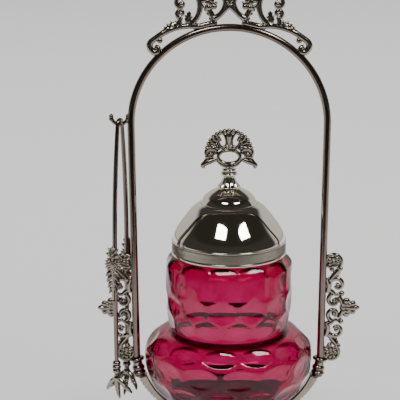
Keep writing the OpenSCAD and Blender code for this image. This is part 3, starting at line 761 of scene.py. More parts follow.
class CASTOR_OT_crest(bpy.types.Operator):
    """Openwork crest of scrolls and leaves on top of the arch"""
    bl_idname = "castor.crest"
    bl_label = "Crest"

    def half(self):
        """The right half, measured up from the arch's centre."""
        parts = []
        add, more = parts.append, parts.extend
        # contact strip along the arch, and the two S stems
        add(strand(arc_line(0, 0, ARCH_OUT + 1.0, 70, 83, 8), [0.8, 1.5, 1.5, 1.0], 0.95))
        add(strand([(9.8, 61.6), (8.0, 64.4), (5.9, 66.2), (3.4, 68.6), (0.6, 71.6)],
                   [1.2, 1.5, 1.3, 1.5], 0.95))
        # stem that winds round the boss
        add(strand(arc_line(12.6, 74, 10.2, 252, 40, 20), [1.5, 1.5, 1.3, 1.2, 1.0, 0.9], 1.0))
        add(strand(arc_line(13.0, 77.2, 6.2, 60, -150, 16), [0.8, 0.8, 0.7, 0.5], 1.0))
        more(rosette(13, 77.6, 5.1, 8, 1.6))
        add(strand([(12.6, 74), (12.4, 72.6), (12.2, 71.2)], 0.9))
        add(ball(20.4, 80.6, 1.5, 1.5))
        add(ball(20.6, 83.0, 2.0, 1.55))
        # acanthus leaf at the inner side
        more(leaf([(9.6, 61.4), (10.4, 66), (13, 70), (17.4, 72.6)], 2.3, 0.6, 4, -1))
        add(ball(12.2, 71.0, 1.6, 1.5))
        add(ball(9.2, 71.4, 1.6, 1.5))
        add(ball(10.7, 73.2, 1.3, 1.5))
        # big outer scroll with its two curls
        add(strand(arc_line(30, 71, 12.4, 252, 118, 18), [1.3, 1.4, 1.5, 1.4, 1.1], 1.0))
        add(strand(arc_line(24.6, 76.2, 7, 100, -16, 14), [1.1, 1.3, 1.3, 1.1], 1.0))
        add(strand(curl(28.9, 73, 2.9, 1.2, 25, -260, 18), [1.1, 1.0, 0.7], 1.0))
        add(ball(28.6, 72.9, 1.3, 1.6))
        add(strand(curl(28.9, 67.2, 3.1, 1.1, -90, 250, 18), [1.0, 0.9, 0.7], 1.0))
        add(ball(28.9, 67.4, 1.0, 1.6))
        add(strand([(28.9, 64.8), (29.3, 63), (29.8, 60.8)], [1.1, 1.3], 1.0))
        more(leaf([(25.2, 61.2), (24.4, 64), (23.9, 68.6)], 2.1, 0.6, 3, 0))
        more(leaf([(18.2, 82.4), (20.8, 79.8), (23.4, 76.8)], 1.6, 0.7, 3, 1))
        # tail with its wrapped leaf, end curl and hanging ball
        add(strand([(18.5, 59.6), (26, 59.6), (33, 58.1), (39.4, 55.3), (43.9, 52.2), (47.0, 49.6),
                    (47.3, 46.5), (45.2, 43.9), (42.8, 44.1), (42.4, 46.2), (44.2, 47.0)],
                   [1.4, 1.4, 1.5, 1.6, 1.7, 1.7, 1.5, 1.2], 1.0))
        more(leaf([(27.6, 59.8), (32, 60.4), (36, 58.8), (40.4, 55.4)], 2.2, 0.68, 6, 0))
        for x, z, run in ((29.6, 60.4, 10), (33.0, 59.8, -18), (36.4, 58.0, -30), (39.4, 55.8, -38),
                          (42.2, 53.6, -40)):
            add(blob((x, 0, z), (2.3, 1.5, 0.9), run + 26))
        add(strand([(42.6, 53.2), (41.9, 52.4), (41.4, 51.4)], [0.9, 1.0]))
        add(ball(41.3, 50.9, 1.5, 1.5))
        return parts

    def middle(self):
        """The palmette between the halves."""
        parts = []
        for a in (-44, -29, -14.5, 0, 14.5, 29, 44):
            reach = 16.3 - abs(a) * 0.12
            way = math.radians(90 - a)
            tip = (reach * math.cos(way), 73 + reach * math.sin(way))
            bend = (0.52 * reach * math.cos(way) * 0.86, 73 + 0.52 * reach * math.sin(way))
            parts.append(strand([(0, 73), bend, tip], [0.7, 1.1, 1.5, 2.0, 1.6], 0.72))
            parts.append(ball(tip[0], tip[1], 1.9, 1.45))
            parts.append(strand([(0, 74), bend, tip], [0.5, 0.5, 0.5], 1.0, -1.0))
            parts.append(strand([(0, 74), bend, tip], [0.5, 0.5, 0.5], 1.0, 1.0))
        parts.extend(rosette(0, 73.6, 3.4, 6, 1.6))
        for side in (-1, 1):
            line = [(side * x, z) for x, z in ((0.8, 71.8), (3.2, 74.6), (3.6, 78.4), (5.4, 79.8))]
            parts.append(strand(line, [0.9, 0.9, 0.8], 1.0))
        return parts

    def execute(self, context):
        right = join("crest_openwork", self.half())
        left = copy_of(right, "crest_left", MIRROR_X)
        crest = join("crest_openwork", [right, left] + self.middle())
        crest.data.transform(Matrix.Translation((0, 0, ARCH * MM)))
        cast(crest, 0.00031, swell=0.32)
        fit(crest, "frame", "Cast plate", ["crest_casting"], 60)
        return {"FINISHED"}


class CASTOR_OT_side_scrolls(bpy.types.Operator):
    """Openwork castings halfway up both legs"""
    bl_idname = "castor.side_scrolls"
    bl_label = "Side castings"

    def half(self):
        """The upper half, x measured out from the leg and z up from the middle."""
        parts = []
        add, more = parts.append, parts.extend
        more(rosette(6.5, 28.8, 3.9, 7, 1.6))
        add(strand(arc_line(6.5, 28.8, 4.7, -60, 195, 18), [0.9, 0.9, 0.8, 0.8], 1.1))
        add(strand([(2.6, 33.0), (3.6, 31.6), (5, 30)], 0.9))
        add(strand([(2.4, 26.6), (4.2, 25.6), (6, 26)], 0.9))
        add(ball(5.4, 24.2, 1.3, 1.5))
        add(ball(10.9, 24.6, 1.2, 1.4))
        add(strand([(10.6, 25.4), (9.4, 23.4), (6.8, 20.4), (4.6, 17.4)], [0.8, 1.1, 1.2, 1.3], 1.0))
        more(leaf([(10.2, 24.4), (8.2, 21.6), (5.4, 18.4)], 2.0, 0.72, 4, 0))
        add(strand(curl(9.2, 14.2, 5.0, 1.7, 150, -150, 26), [1.2, 1.1, 1.0, 0.8, 0.7], 1.05))
        add(ball(9.2, 14.2, 1.2, 1.6))
        add(strand([(2.9, 18.4), (3.9, 15), (3.9, 12), (3.2, 9.4)], [1.3, 1.5, 1.4, 1.2], 0.95))
        add(strand([(3.6, 11.4), (6.2, 9.8), (8.2, 8.2), (11.4, 8.8)], [1.0, 1.0, 0.8, 0.8], 1.0))
        add(ball(11.9, 8.9, 1.5, 1.5))
        add(strand(curl(7.4, 4.3, 4.4, 1.5, 110, 430, 26), [1.1, 1.1, 1.0, 0.8, 0.7], 1.05))
        add(ball(7.4, 4.2, 1.2, 1.6))
        add(strand([(10.4, 6.6), (11.8, 4.2), (13.2, 1.2)], [1.2, 1.2, 1.3], 1.0))
        add(ball(13.2, 2.4, 1.7, 1.4))
        add(ball(15.0, 4.0, 2.0, 1.45))
        add(ball(16.4, 1.4, 1.9, 1.4))
        add(ball(18.9, 2.5, 1.7, 1.4))
        add(strand([(12.6, 0.6), (15.2, 2.2), (18.2, 2.0), (20.4, 1.0)], [0.9, 1.1, 0.9, 0.7], 1.35))
        return parts

    def execute(self, context):
        upper = join("side_openwork", self.half())
        lower = copy_of(upper, "side_lower", Matrix.Diagonal((1, 1, -1, 1)))
        middle = [strand([(11.0, 0), (15, 0), (19.4, 0), (22.9, 0)], [1.2, 1.6, 1.8, 0.5], 0.85),
                  blob((20.4, 0, 0), (2.4, 1.4, 1.5)), strand([(11.6, 0), (21.8, 0)], 0.5, 1.0, -1.2),
                  strand([(11.6, 0), (21.8, 0)], 0.5, 1.0, 1.2)]
        side = join("side_openwork", [upper, lower] + middle)
        cast(side, context.scene.castor_sizes.cast_grain, swell=0.28)
        right = copy_of(side, "side_openwork_right", lean_about(1, SIDE_MID))
        left = copy_of(side, "side_openwork_left", lean_about(-1, SIDE_MID) @ MIRROR_X)
        bpy.data.objects.remove(side)
        fit(right, "frame", "Cast plate", ["side_scroll_right"], 60)
        fit(left, "frame", "Cast plate", ["side_scroll_left"], 60)
        return {"FINISHED"}


class CASTOR_OT_hook(bpy.types.Operator):
    """The hook that the tongs hang on"""
    bl_idname = "castor.hook"
    bl_label = "Tong hook"

    def execute(self, context):
        path = [(x, 0, z) for x, z in arc_line(HOOK_X, HOOK_Z, HOOK_R, 180, 360, 28)]
        wire = draw_tube("hook", path, [1.15, 1.15, 1.2, 1.15, 1.15], 16)
        beads = [ball(HOOK_X + side * HOOK_R, HOOK_Z, 1.45) for side in (-1, 1)]
        collar = [ball(HOOK_X - HOOK_R, HOOK_Z - 1.7, 1.5, 1.5), ball(HOOK_X + 4.8, HOOK_Z - 1.5, 1.4, 1.5)]
        hook = cast(join("tong_hook_cast", [wire] + beads + collar), 0.0002, soften=1)
        fit(hook, "frame", "Rubbed plate", ["tong_hook"], 60)
        return {"FINISHED"}


# ---------- jar ----------

class CASTOR_OT_jar(bpy.types.Operator):
    """Blown glass jar with rows of thumbprints pressed into it"""
    bl_idname = "castor.jar"
    bl_label = "Jar"

    wall = 3.0

    def skins(self):
        """Outer and inner profile, from the base's middle up, and from the mouth down."""
        low, top = JAR_R - BULB_LOW_R, JAR_R - BULB_TOP_R
        flare = WAIST + BODY_RISE
        start = -math.degrees(math.acos((BULB_FOOT_R - low) / BULB_LOW_R))
        outside = ([(0, SEAT + 2), (9, SEAT + 2), (18, SEAT + 2), (25.2, SEAT + 1.9), (26.4, SEAT + 0.5),
                    (27.2, SEAT), (29.0, SEAT), (30.2, SEAT + 0.4)]
                   + arc_line(low, BULB, BULB_LOW_R, start, 0, 40)
                   + arc_line(top, BULB, BULB_TOP_R, 4, 88, 24)
                   + oval_line(34.6, flare, 3.9, 28.2, -90, 0, 32)
                   + oval_line(31.2, SHOULDER, 7.3, 6.5, 4, 90, 14)
                   + [(31.2, MOUTH - 3), (31.2, MOUTH - 0.9), (31.0, MOUTH - 0.3), (30.4, MOUTH)])
        inside = ([(29, MOUTH), (28.4, MOUTH - 0.3), (28.2, MOUTH - 0.9), (28.2, MOUTH - 5)]
                  + oval_line(28.2, SHOULDER - 3, 7.3, 6.5, 90, 4, 14)
                  + oval_line(31.6, flare, 3.9, 29, 0, -88, 32)
                  + arc_line(top, BULB, 12.2, 108, 6, 24)
                  + arc_line(low, BULB, 33, 0, -math.degrees(math.asin(27.1 / 33)), 36)
                  + [(18, SEAT + 5), (9, SEAT + 5), (0, SEAT + 5)])
        return outside, inside

    def rows(self, sizes):
        """Middle of each row of thumbprints: radius, height, way out, half height, start, strength."""
        low, top = JAR_R - BULB_LOW_R, JAR_R - BULB_TOP_R
        half = 0.5 * TURN / sizes.thumbprints
        rows = []
        for a, tall, strength in ((-52, 6.6, 0.8), (-28, 7.0, 1.0), (-4, 7.0, 1.0)):
            out = Vector((math.cos(math.radians(a)), math.sin(math.radians(a))))
            rows.append((Vector((low, BULB)) + out * BULB_LOW_R, out, tall, strength))
        out = Vector((math.cos(math.radians(44)), math.sin(math.radians(44))))
        rows.append((Vector((top, BULB)) + out * BULB_TOP_R, out, 6.0, 0.9))
        for z, tall, strength in ((88.5, 6.2, 0.7), (100.5, 6.6, 0.8), (113.0, 6.6, 0.9), (124.2, 4.6, 0.7)):
            out = Vector((1, 0)) if z < 120 else Vector((0.8, 0.6))
            inward = math.sqrt(max(1 - ((WAIST + BODY_RISE - z) / 28.2) ** 2, 0))
            radius = 34.6 + 3.9 * inward if z < 109 else 38.5
            rows.append((Vector((radius if z < 120 else 37.2, z)), out, tall, strength))
        return [(place, out, tall, half * (i % 2) + math.radians(7.5), strength)
                for i, (place, out, tall, strength) in enumerate(rows)]

    def execute(self, context):
        sizes = context.scene.castor_sizes
        outside, inside = self.skins()
        jar = turn_on_lathe("pickle_jar", outside + inside, sizes.thumbprints * 18, closed=False)
        rows = self.rows(sizes)
        pitch = TURN / sizes.thumbprints
        depth = sizes.thumb_depth / MM

        def press(p):
            reach = math.hypot(p.x, p.y)
            if reach < 20:
                return p
            spot = Vector((reach, p.z))
            around = math.atan2(p.y, p.x) + math.pi / 2
            sink = Vector((0, 0))
            for place, out, tall, start, strength in rows:
                for skin, share in ((place, 1.0), (place - out * self.wall, 0.5)):
                    gap = spot - skin
                    across, along = abs(gap.dot(out)), gap.length
                    if along > tall or across > 1.45 + 0.12 * along:
                        continue
                    off = (around - start + pitch / 2) % pitch - pitch / 2
                    wide = 0.5 * pitch * place.x * 0.98
                    d = (off * place.x / wide) ** 2 + (along / tall) ** 2
                    if d < 1:
                        sink -= out * (depth * strength * share * (1 - d) ** 0.95)
            push = Vector((p.x, p.y)) / reach
            return Vector((p.x + push.x * sink.x, p.y + push.y * sink.x, p.z + sink.y))
        move_points(jar, press)
        fit(jar, "jar", cranberry_glass(), ["glass_jar"], 50)
        return {"FINISHED"}


# ---------- lid ----------

class CASTOR_OT_lid(bpy.types.Operator):
    """Spun bell of the lid and the knurled band under it"""
    bl_idname = "castor.lid"
    bl_label = "Lid"

    def bell(self):
        """Bell: a rounded shoulder, a long cone, a ledge and a small dome."""
        skin = outline([(34.15, 0.05), (34.1, 1.4), (33.3, 4.4), (31.2, 8.2), (27.7, 13.1), (24.1, 17.7),
                        (21.2, 20.7), (18.7, 22.3), (17.3, 22.9)], 10)
        dome = outline([(16.75, 23.1), (16.4, 24.6), (14.9, 27.1), (12.0, 29.5), (9.2, 31.1),
                        (7.0, 32.3)], 10)
        top = 32.35
        under = [(1.6, top), (1.6, top - 0.9), (8.2, top - 1.6), (12.6, 27.4), (15.3, 23.6), (17.2, 21.8),
                 (20.8, 19.8), (24.8, 14.8), (28.8, 9.0), (32.2, 3.4), (33.1, 0.05)]
        return turn_on_lathe("lid_bell_spun", [(r, BELL + z) for r, z in skin + dome + under], 160)

    def band(self, lines):
        """Band with slanting knurls between two plain beads."""
        edge, height = 34.68, 8.78
        skin = ([(33.4, 0), (34.3, 0), (34.6, 0.15), (edge, 0.5), (edge, 1.2), (34.5, 1.5), (34.25, 1.62)]
                + [(34.42, 1.75 + 5.75 * i / 10) for i in range(11)]
                + [(34.25, 7.65), (34.45, 7.8), (edge, 8.05), (edge, 8.4), (34.5, 8.7), (34.2, height),
                   (33.4, height)])
        piece = turn_on_lathe("lid_band_knurled", [(r, BAND + z) for r, z in skin], lines * 4)

        def cut(p):
            z = p.z - BAND
            reach = math.hypot(p.x, p.y)
            if reach < 34.36 or z < 1.7 or z > 7.55:
                return p
            around = math.atan2(p.y, p.x) * lines / TURN - z * 0.62
            ridge = abs((around % 1.0) * 2 - 1)
            scale = (reach + 0.24 - 0.62 * (1 - ridge) ** 0.8) / reach
            return Vector((p.x * scale, p.y * scale, p.z))
        move_points(piece, cut)
        return piece

    def execute(self, context):
        fit(self.bell(), "lid", "Bright plate", ["lid_bell"], 40)
        band = self.band(context.scene.castor_sizes.knurl_lines)
        fit(band, "lid", "Knurled plate", ["lid_band"], 50)
        return {"FINISHED"}


class CASTOR_OT_finial(bpy.types.Operator):
    """Fluted stem, ringed collar and openwork fan on the lid"""
    bl_idname = "castor.finial"
    bl_label = "Finial"

    def stem(self):
        """A flared stem with flutes that end in a scalloped base."""
        low = CROWN
        skin = outline([(6.9, 0.0), (6.95, 0.4), (6.4, 0.95), (5.5, 2.0), (4.6, 3.3), (4.0, 4.7),
                        (3.65, 5.9), (3.6, 6.4)], 5)
        bore = [(1.6, 6.4), (1.6, 0)]
        piece = turn_on_lathe("finial_stem_fluted", [(r, low + z) for r, z in skin + bore], 108)

        def flute(p):
            reach = math.hypot(p.x, p.y)
            if reach < 2.5:
                return p
            wave = abs(math.sin(math.atan2(p.y, p.x) * 4.5 + math.pi / 4))
            fade = min(max((low + 6.2 - p.z) / 3, 0), 1)
            scale = 1 - 0.13 * fade * (1 - wave) ** 1.4
            return Vector((p.x * scale, p.y * scale, p.z))
        move_points(piece, flute)
        return piece

    def collar(self):
        """Two beads between plain reels."""
        skin = outline([(3.5, 0), (3.7, 0.2), (4.7, 0.6), (5.15, 1.4), (5.1, 2.0), (4.3, 2.7),
                        (3.9, 3.0), (4.2, 3.4), (4.4, 3.9), (4.3, 4.6), (4.0, 4.95)], 4)
        bore = [(1.6, 4.95), (1.6, 0)]
        return turn_on_lathe("finial_collar_turned", [(r, COLLAR + z) for r, z in skin + bore], 64)

    def fan(self):
        """Petals round a pear-shaped lobe, over an oval ring with volutes."""
        parts = []
        add = parts.append
        cz = 9.8
        # oval ring, with a foot under it and two small volutes on top
        add(strand(oval_line(0, 6.9, 6.5, 4.15, -90, 270, 40), 1.05, 1.35))
        add(blob((0, 0, 1.5), (3.6, 1.66, 1.5)))
        add(blob((0, 0, 2.6), (2.2, 1.5, 1.4)))
        # pear lobe in the middle
        add(strand([(0, 12.4), (0, 15.5), (0, 19), (0, 21.8)], [0.7, 0.95, 1.6, 2.0, 1.7], 0.8))
        for side in (-1, 1):
            add(strand([(side * x, z) for x, z in curl(2.5, 12.3, 1.9, 0.8, -110, 170, 18)],
                       [0.8, 0.8, 0.6], 1.9))
            add(ball(side * 2.5, 12.3, 0.75, 1.65))
            # rim of a slanting opening
            rim = Matrix.Rotation(math.radians(-side * 14), 2)
            add(strand([tuple(Vector((side * 4.3, 17.4)) + rim @ Vector(p)) for p in
                        oval_line(0, 0, 2.35, 4.7, -90, 270, 26)], 0.62, 2.1))
            # volute beside the ring, with its leaf, tail and curled tip
            add(strand([(side * x, z) for x, z in curl(11.2, 9.0, 4.1, 1.5, 160, -200, 26)],
                       [1.25, 1.25, 1.1, 0.8], 1.25))
            add(ball(side * 11.1, 9.0, 1.25, 1.68))
            add(strand([(side * 7.8, 5.6), (side * 11, 4.2), (side * 13.8, 3.2), (side * 15.7, 2.0),
                        (side * 15.6, 0.9), (side * 14.6, 1.0)], [1.2, 1.5, 1.6, 1.2, 0.9], 1.0))
            add(strand([(side * 12.6, 6.0), (side * 14.3, 4.2), (side * 15.4, 2.6)], [1.2, 1.1, 0.9], 1.2))
            add(strand([(side * 3.2, 1.6), (side * 5.4, 2.7), (side * 7.4, 4.9)], [1.0, 0.9, 0.8], 1.5))
            add(strand([(side * 5.2, 12.0), (side * 7.2, 12.9), (side * 9.2, 12.9)], [0.9, 1.2, 1.0], 1.3))
            for k in range(3):
                add(ball(side * (6.6 + 0.5 * k), 12.2 + 1.5 * k, 0.8, 1.6))
            # petals that fan out to the edge
            for angle in (35, 47, 59, 71, 83, 95):
                way = math.radians(90 - angle)
                near = 8.4 if angle < 60 else 6.6
                line = [(side * reach * math.cos(way), cz + reach * math.sin(way))
                        for reach in (near, 10.5, 12.6)]
                add(strand(line, [0.55, 0.95, 1.25], 1.1))
        # lobes of the edge, with a thread inside them
        for k in range(19):
            a = math.radians(-11 + 202 * k / 18)
            add(ball(13.65 * math.cos(a), cz + 13.55 * math.sin(a) - 0.1, 1.2, 1.5))
        add(strand(arc_line(0, cz, 12.3, -6, 186, 30), 0.5, 2.2))
        return parts

    def execute(self, context):
        fit(self.stem(), "lid", "Bright plate", ["finial_stem"], 50)
        fit(self.collar(), "lid", "Bright plate", ["finial_collar"], 60)
        fan = join("finial_fan_openwork", self.fan())
        fan.data.transform(Matrix.Translation((0, 0, FAN * MM)))
        cast(fan, 0.00022, swell=0.1)
        fit(fan, "lid", "Cast plate", ["finial_fan"], 60)
        return {"FINISHED"}


# ---------- tongs ----------

def at_tongs(front):
    """Places a piece drawn on the back arm: x across the flat, y out from the middle."""
    half = Matrix.Rotation(math.pi, 4, "Z") if front else Matrix.Identity(4)
    return Matrix.Translation((HOOK_X * MM, 0, 0)) @ Matrix.Rotation(TONG_TURN, 4, "Z") @ half


def set_on_arms(piece, name, material, stem, sharp=60):
    """Copies a piece drawn on the back arm to both arms and sets each on its body."""
    for side in ("front", "back"):
        twin = copy_of(piece, "%s_%s" % (name, side), at_tongs(side == "front"))
        fit(twin, "tong_" + side, material, ["%s_%s" % (stem, side)], sharp)
    bpy.data.objects.remove(piece)


class CASTOR_OT_tongs(bpy.types.Operator):
    """Spring bow and the two long arms of the tongs"""
    bl_idname = "castor.tongs"
    bl_label = "Tongs"

    def execute(self, context):
        bend = [(0, y, z) for y, z in arc_line(0, BOW_Z, BOW_R, 0, 180, 24)]
        bow = draw_tube("tong_bow_bent", bend, 1.28, 18)
        bow.data.transform(at_tongs(False))
        fit(bow, "tongs", "Rubbed plate", ["tong_bow"], 60)
        fall, spread = BOW_Z - KNUCKLE_TOP, ANKLE + BULGE
        wide = BOW_Z - fall * 0.52
        path = []
        for i in range(41):
            z = BOW_Z - 0.1 - (fall - 0.1) * i / 40
            if z > wide:
                drop, radius = z - wide, self.bend(BOW_Z - wide, spread - BOW_R)
            else:
                drop, radius = wide - z, self.bend(wide - KNUCKLE_TOP, BULGE)
            path.append((0, spread - radius + math.sqrt(radius ** 2 - drop ** 2), z))
        arm = draw_tube("tong_arm", path, [1.28, 1.45, 1.48, 1.48, 1.48, 1.4, 1.3], 16)
        set_on_arms(arm, "tong_rod", "Rubbed plate", "tong_arm")
        return {"FINISHED"}

    def bend(self, drop, out):
        """Radius of the arc that moves out by that much over the drop."""
        return (drop ** 2 + out ** 2) / (2 * out)


class CASTOR_OT_flowers(bpy.types.Operator):
    """Cast daisies and leaves on the outsides of the tongs"""
    bl_idname = "castor.flowers"
    bl_label = "Tong flowers"

    def execute(self, context):
        parts = []
        add = parts.append
        # the daisy: three rings of petals round a button, facing -Y here and turned to face out below
        for petals, reach, length, width, y in ((16, 4.1, 1.8, 0.72, 0.6), (13, 2.9, 1.6, 0.66, 0.1),
                                                (9, 1.8, 1.2, 0.6, -0.35)):
            for k in range(petals):
                add(petal(0, 6, reach, 360 * k / petals + 7 * petals, length, width, 0.75, y))
        add(blob((0, 0.8, 6), (4.9, 0.8, 4.9), rough=3))
        for k in range(7):
            a = TURN * k / 7
            add(ball(0.85 * math.cos(a), 6 + 0.85 * math.sin(a), 0.42, 0.55, -0.75))
        add(ball(0, 6, 0.9, 0.7, -0.6))
        # stalks with pointed leaves, and a bud at each end
        add(strand([(0, 9), (0.3, 13), (0, 17.2)], [1.0, 0.9, 0.7], 1.0, 0.3))
        add(strand([(0, 3), (-0.4, -5), (0.2, -12), (0, -17.0)], [1.1, 1.1, 0.9, 0.6], 1.0, 0.3))
        for side in (-1, 1):
            for near, far, wide in (((0.2, 10.4), (4.6, 13.0), 1.5), ((0.2, 12.6), (3.4, 16.4), 1.3),
                                    ((0.4, 1.6), (4.8, -1.4), 1.5), ((0.4, -1.0), (4.2, -5.0), 1.5),
                                    ((0.3, -4.4), (3.4, -8.6), 1.4), ((0.3, -8.0), (2.6, -12.2), 1.2)):
                mid = ((near[0] + far[0]) / 2 + 0.3, (near[1] + far[1]) / 2 + 0.5)
                line = [(side * x, z) for x, z in (near, mid, far)]
                add(strand(line, [0.6, wide, wide * 0.8, 0.3], 0.6, 0.5))
                add(strand(line, [0.35, 0.4, 0.25], 1.0, -0.35))
            add(ball(side * 1.0, 16.2, 0.7, 0.8, 0.1))
        add(ball(0, 17.0, 0.9, 0.9, 0.1))
        add(ball(0, -16.9, 0.9, 0.9, 0.1))
        flower = cast(join("tong_flower", parts), 0.0002, swell=0.06, soften=1)
        low_y = min(v.co.y for v in flower.data.vertices) / MM
        high_y = max(v.co.y for v in flower.data.vertices) / MM
        squeeze = 2.36 / (high_y - low_y)
        back = ANKLE + BULGE + 1.5
        top = node_box("tong_flower_back")[1].z

        def seat(p):
            return Vector((p.x, back + 0.03 + (high_y - p.y) * squeeze, p.z + top - 18.2))
        move_points(flower, seat)
        flower.data.flip_normals()
        set_on_arms(flower, "tong_daisy", "Cast plate", "tong_flower")
        return {"FINISHED"}


class CASTOR_OT_claws(bpy.types.Operator):
    """Ringed knuckles and three-toed claws"""
    bl_idname = "castor.claws"
    bl_label = "Knuckles and claws"

    def execute(self, context):
        height = KNUCKLE_TOP - CLAW_TOP
        skin = outline([(1.6, 0), (2.3, 0.5), (2.6, 1.5), (2.4, 2.4), (1.8, 2.9), (2.4, 3.3), (2.78, 4.1),
                        (2.4, 4.9), (1.8, 5.4), (2.3, 5.8), (2.6, 6.6), (2.2, 7.5), (1.6, height)], 4)
        knuckle = turn_on_lathe("knuckle", [(0, CLAW_TOP)] + [(r, CLAW_TOP + z) for r, z in skin]
                                + [(0, KNUCKLE_TOP)], 36, closed=False)
        knuckle.data.transform(Matrix.Translation((0, ANKLE * MM, 0)))
        set_on_arms(knuckle, "tong_knuckle_ringed", "Cast plate", "tong_knuckle")
        reach = ANKLE - TOE_GAP
        parts = [draw_tube("palm", [(0, 0, 0), (0, 0, -1.6), (0, 0, -3.4)], [1.5, 1.7, 2.1], 16),
                 blob((0, 0, -3.1), (2.15, 2.15, 2.1), rough=3)]
        for spread, length in ((8.4, 10.2), (-8.4, 10.2), (0, 14.6)):
            joint = Vector((spread * 0.62, -reach * 0.35, -length * 0.55))
            tip = Vector((spread, -reach, -length))
            start = Vector((0, 0, 0))
            line = smooth_line([start, joint * 0.5 + Vector((spread * 0.06, 0.3, 0.5)), joint,
                                (joint + tip) * 0.5 + Vector((spread * 0.05, 0.2, 0)), tip], 6)
            shifted = [p + Vector((0, 0, -3)) for p in line]
            parts.append(draw_tube("toe", shifted, [1.7, 1.5, 1.75, 1.45, 1.4, 1.0, 0.4], 12))
            parts.append(blob(tuple(joint + Vector((0, 0, -3))), (1.75, 1.75, 1.7)))
            parts.append(blob(tuple(joint * 0.5 + Vector((spread * 0.06, 0.3, -2.5))), (1.7, 1.7, 1.6)))
        claw = cast(join("claw", parts), 0.0002, soften=1)
        claw.data.transform(Matrix.Translation(Vector((0, ANKLE, CLAW_TOP)) * MM))
        set_on_arms(claw, "tong_claw_cast", "Cast plate", "tong_claw")
        return {"FINISHED"}


# ---------- plain parts and stage ----------

class CASTOR_OT_plain_parts(bpy.types.Operator):
    """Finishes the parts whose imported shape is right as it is"""
    bl_idname = "castor.plain_parts"
    bl_label = "Plain parts"

    def execute(self, context):
        finishes = {
            "tray_saucer": "Rubbed plate", "lid_bezel": "Bright plate",
            "socket_pins": "Plain steel", "tie_bolt": "Plain steel", "tie_washer": "Plain steel",
            "arm_rivets": "Plain steel", "finial_screw": "Plain steel", "finial_washer": "Plain steel",
            "tie_nut": "Nut brass", "finial_nut": "Nut brass",
        }
        for name, material in finishes.items():
            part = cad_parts[name]
            if not part.material_slots:
                raise RuntimeError("no material slot on " + name)
            for slot in part.material_slots:
                slot.material = finish_of(material)
        return {"FINISHED"}


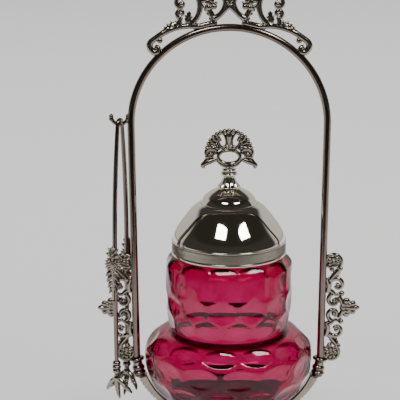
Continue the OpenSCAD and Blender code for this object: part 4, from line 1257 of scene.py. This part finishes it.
class CASTOR_OT_stage(bpy.types.Operator):
    """Pale floor, soft light and camera"""
    bl_idname = "castor.stage"
    bl_label = "Stage"

    def floor(self):
        """A wide pale floor that also fills the background."""
        clear_selection()
        bpy.ops.mesh.primitive_plane_add(size=9, location=(0, 0.5, 0))
        floor = bpy.context.object
        floor.name = "floor"
        material = bpy.data.materials.new("Floor paint")
        material.use_nodes = True
        tree = material.node_tree
        shader = tree.nodes["Principled BSDF"]
        place = add_node(tree, "ShaderNodeTexCoord").outputs["Object"]
        grain = add_node(tree, "ShaderNodeTexNoise", Vector=place, Scale=900.0, Detail=2.0)
        colour = bpy.context.scene.castor_colours.floor
        tint = add_node(tree, "ShaderNodeValToRGB", Fac=grain.outputs["Fac"])
        tint.color_ramp.elements[0].color = (*[c * 0.97 for c in colour], 1)
        tint.color_ramp.elements[1].color = (*colour, 1)
        tree.links.new(tint.outputs["Color"], shader.inputs["Base Color"])
        shader.inputs["Roughness"].default_value = 0.85
        floor.data.materials.append(material)

    def card(self):
        """A dark card on the floor in front, seen only in the metal's reflections."""
        clear_selection()
        bpy.ops.mesh.primitive_plane_add(size=1, location=(0, 0, 0))
        card = bpy.context.object
        card.name = "dark_card"
        card.data.transform(Matrix.Translation((0, -0.98, 0.002)) @ Matrix.Diagonal((3.0, 1.16, 1, 1)))
        for ray in ("camera", "diffuse", "transmission", "volume_scatter", "shadow"):
            setattr(card, "visible_" + ray, False)
        material = bpy.data.materials.new("Dark card")
        material.use_nodes = True
        shader = material.node_tree.nodes["Principled BSDF"]
        shader.inputs["Base Color"].default_value = (0.02, 0.018, 0.017, 1)
        card.data.materials.append(material)

    def sky(self):
        """A pale room: bright at the sides and behind, dark in front and overhead."""
        world = bpy.context.scene.world or bpy.data.worlds.new("Room")
        bpy.context.scene.world = world
        world.use_nodes = True
        tree = world.node_tree
        way = add_node(tree, "ShaderNodeTexCoord").outputs["Generated"]
        split = add_node(tree, "ShaderNodeSeparateXYZ", Vector=way)
        front = add_node(tree, "ShaderNodeMapRange", {"interpolation_type": "SMOOTHSTEP"},
                         Value=split.outputs["Y"], From_Min=0.22, From_Max=0.40, To_Min=0.03, To_Max=1.0)
        over = add_node(tree, "ShaderNodeMapRange", {"interpolation_type": "SMOOTHSTEP"},
                        Value=split.outputs["Z"], From_Min=0.62, From_Max=0.44, To_Min=0.04, To_Max=1.0)
        both = add_node(tree, "ShaderNodeMath", {"operation": "MULTIPLY"}, i0=front.outputs["Result"],
                        i1=over.outputs["Result"])
        ramp = add_node(tree, "ShaderNodeValToRGB", Fac=both.outputs[0])
        ramp.color_ramp.elements[0].color = (0.042, 0.040, 0.034, 1)
        ramp.color_ramp.elements[1].color = (1.0, 0.98, 0.95, 1)
        shade = tree.nodes["Background"]
        tree.links.new(ramp.outputs["Color"], shade.inputs["Color"])
        shade.inputs["Strength"].default_value = 0.62

    def window(self, name, place, aim, width, height, power, mirrored=True):
        """A soft box that shines like a window. One that isn't mirrored only lights the room."""
        clear_selection()
        bpy.ops.object.light_add(type="AREA", location=Vector(place) * MM)
        lamp = bpy.context.object
        lamp.name = name
        lamp.data.shape = "RECTANGLE"
        lamp.data.size, lamp.data.size_y = width * MM, height * MM
        lamp.data.energy = power
        lamp.visible_glossy = lamp.visible_transmission = mirrored
        lamp.rotation_euler = (Vector(aim) * MM - lamp.location).to_track_quat("-Z", "Y").to_euler()

    def camera(self):
        """A long lens, looking a little down."""
        clear_selection()
        bpy.ops.object.camera_add(location=Vector((-17.5, -1445, 548.3)) * MM)
        camera = bpy.context.object
        camera.data.sensor_width = 36
        camera.data.lens = 223
        camera.data.clip_end = 20
        aim = Vector((-17.5, 0, 161.1)) * MM
        camera.rotation_euler = (aim - camera.location).to_track_quat("-Z", "Y").to_euler()
        bpy.context.scene.camera = camera

    def execute(self, context):
        self.floor()
        self.card()
        self.sky()
        self.window("window_left", (-398, -856, 1441), (0, 0, 150), 520, 260, 7)
        self.window("window_right", (726, -702, 1390), (0, 0, 150), 480, 260, 7)
        self.window("ceiling", (0, 850, 1700), (0, 850, 0), 2800, 2200, 67, False)
        self.camera()
        return {"FINISHED"}


class CASTOR_PT_panel(bpy.types.Panel):
    """Lists the castor's pieces and sizes"""
    bl_idname = "CASTOR_PT_panel"
    bl_label = "Table Castor"
    bl_space_type = "VIEW_3D"
    bl_region_type = "UI"
    bl_category = "Castor"

    def draw(self, context):
        for group in (context.scene.castor_sizes, context.scene.castor_colours):
            for key in group.bl_rna.properties.keys():
                if key not in ("rna_type", "name"):
                    self.layout.prop(group, key)
        for operator in PIECES:
            self.layout.operator(operator.bl_idname)


PIECES = (CASTOR_OT_foot, CASTOR_OT_cradle, CASTOR_OT_handle, CASTOR_OT_crest, CASTOR_OT_side_scrolls,
          CASTOR_OT_hook, CASTOR_OT_jar, CASTOR_OT_lid, CASTOR_OT_finial, CASTOR_OT_tongs,
          CASTOR_OT_flowers, CASTOR_OT_claws, CASTOR_OT_plain_parts, CASTOR_OT_stage)
CLASSES = (CastorSizes, CastorColours) + PIECES + (CASTOR_PT_panel,)


def register():
    """Registers the classes and hangs the settings on the scene."""
    for each in CLASSES:
        bpy.utils.register_class(each)
    bpy.types.Scene.castor_sizes = PointerProperty(type=CastorSizes)
    bpy.types.Scene.castor_colours = PointerProperty(type=CastorColours)


def unregister():
    """Takes the settings and the classes away again."""
    del bpy.types.Scene.castor_sizes
    del bpy.types.Scene.castor_colours
    for each in reversed(CLASSES):
        bpy.utils.unregister_class(each)


def main():
    register()
    bpy.ops.castor.foot()
    bpy.ops.castor.cradle()
    bpy.ops.castor.handle()
    bpy.ops.castor.crest()
    bpy.ops.castor.side_scrolls()
    bpy.ops.castor.hook()
    bpy.ops.castor.jar()
    bpy.ops.castor.lid()
    bpy.ops.castor.finial()
    bpy.ops.castor.tongs()
    bpy.ops.castor.flowers()
    bpy.ops.castor.claws()
    bpy.ops.castor.plain_parts()
    bpy.ops.castor.stage()


if __name__ == "__main__":
    main()
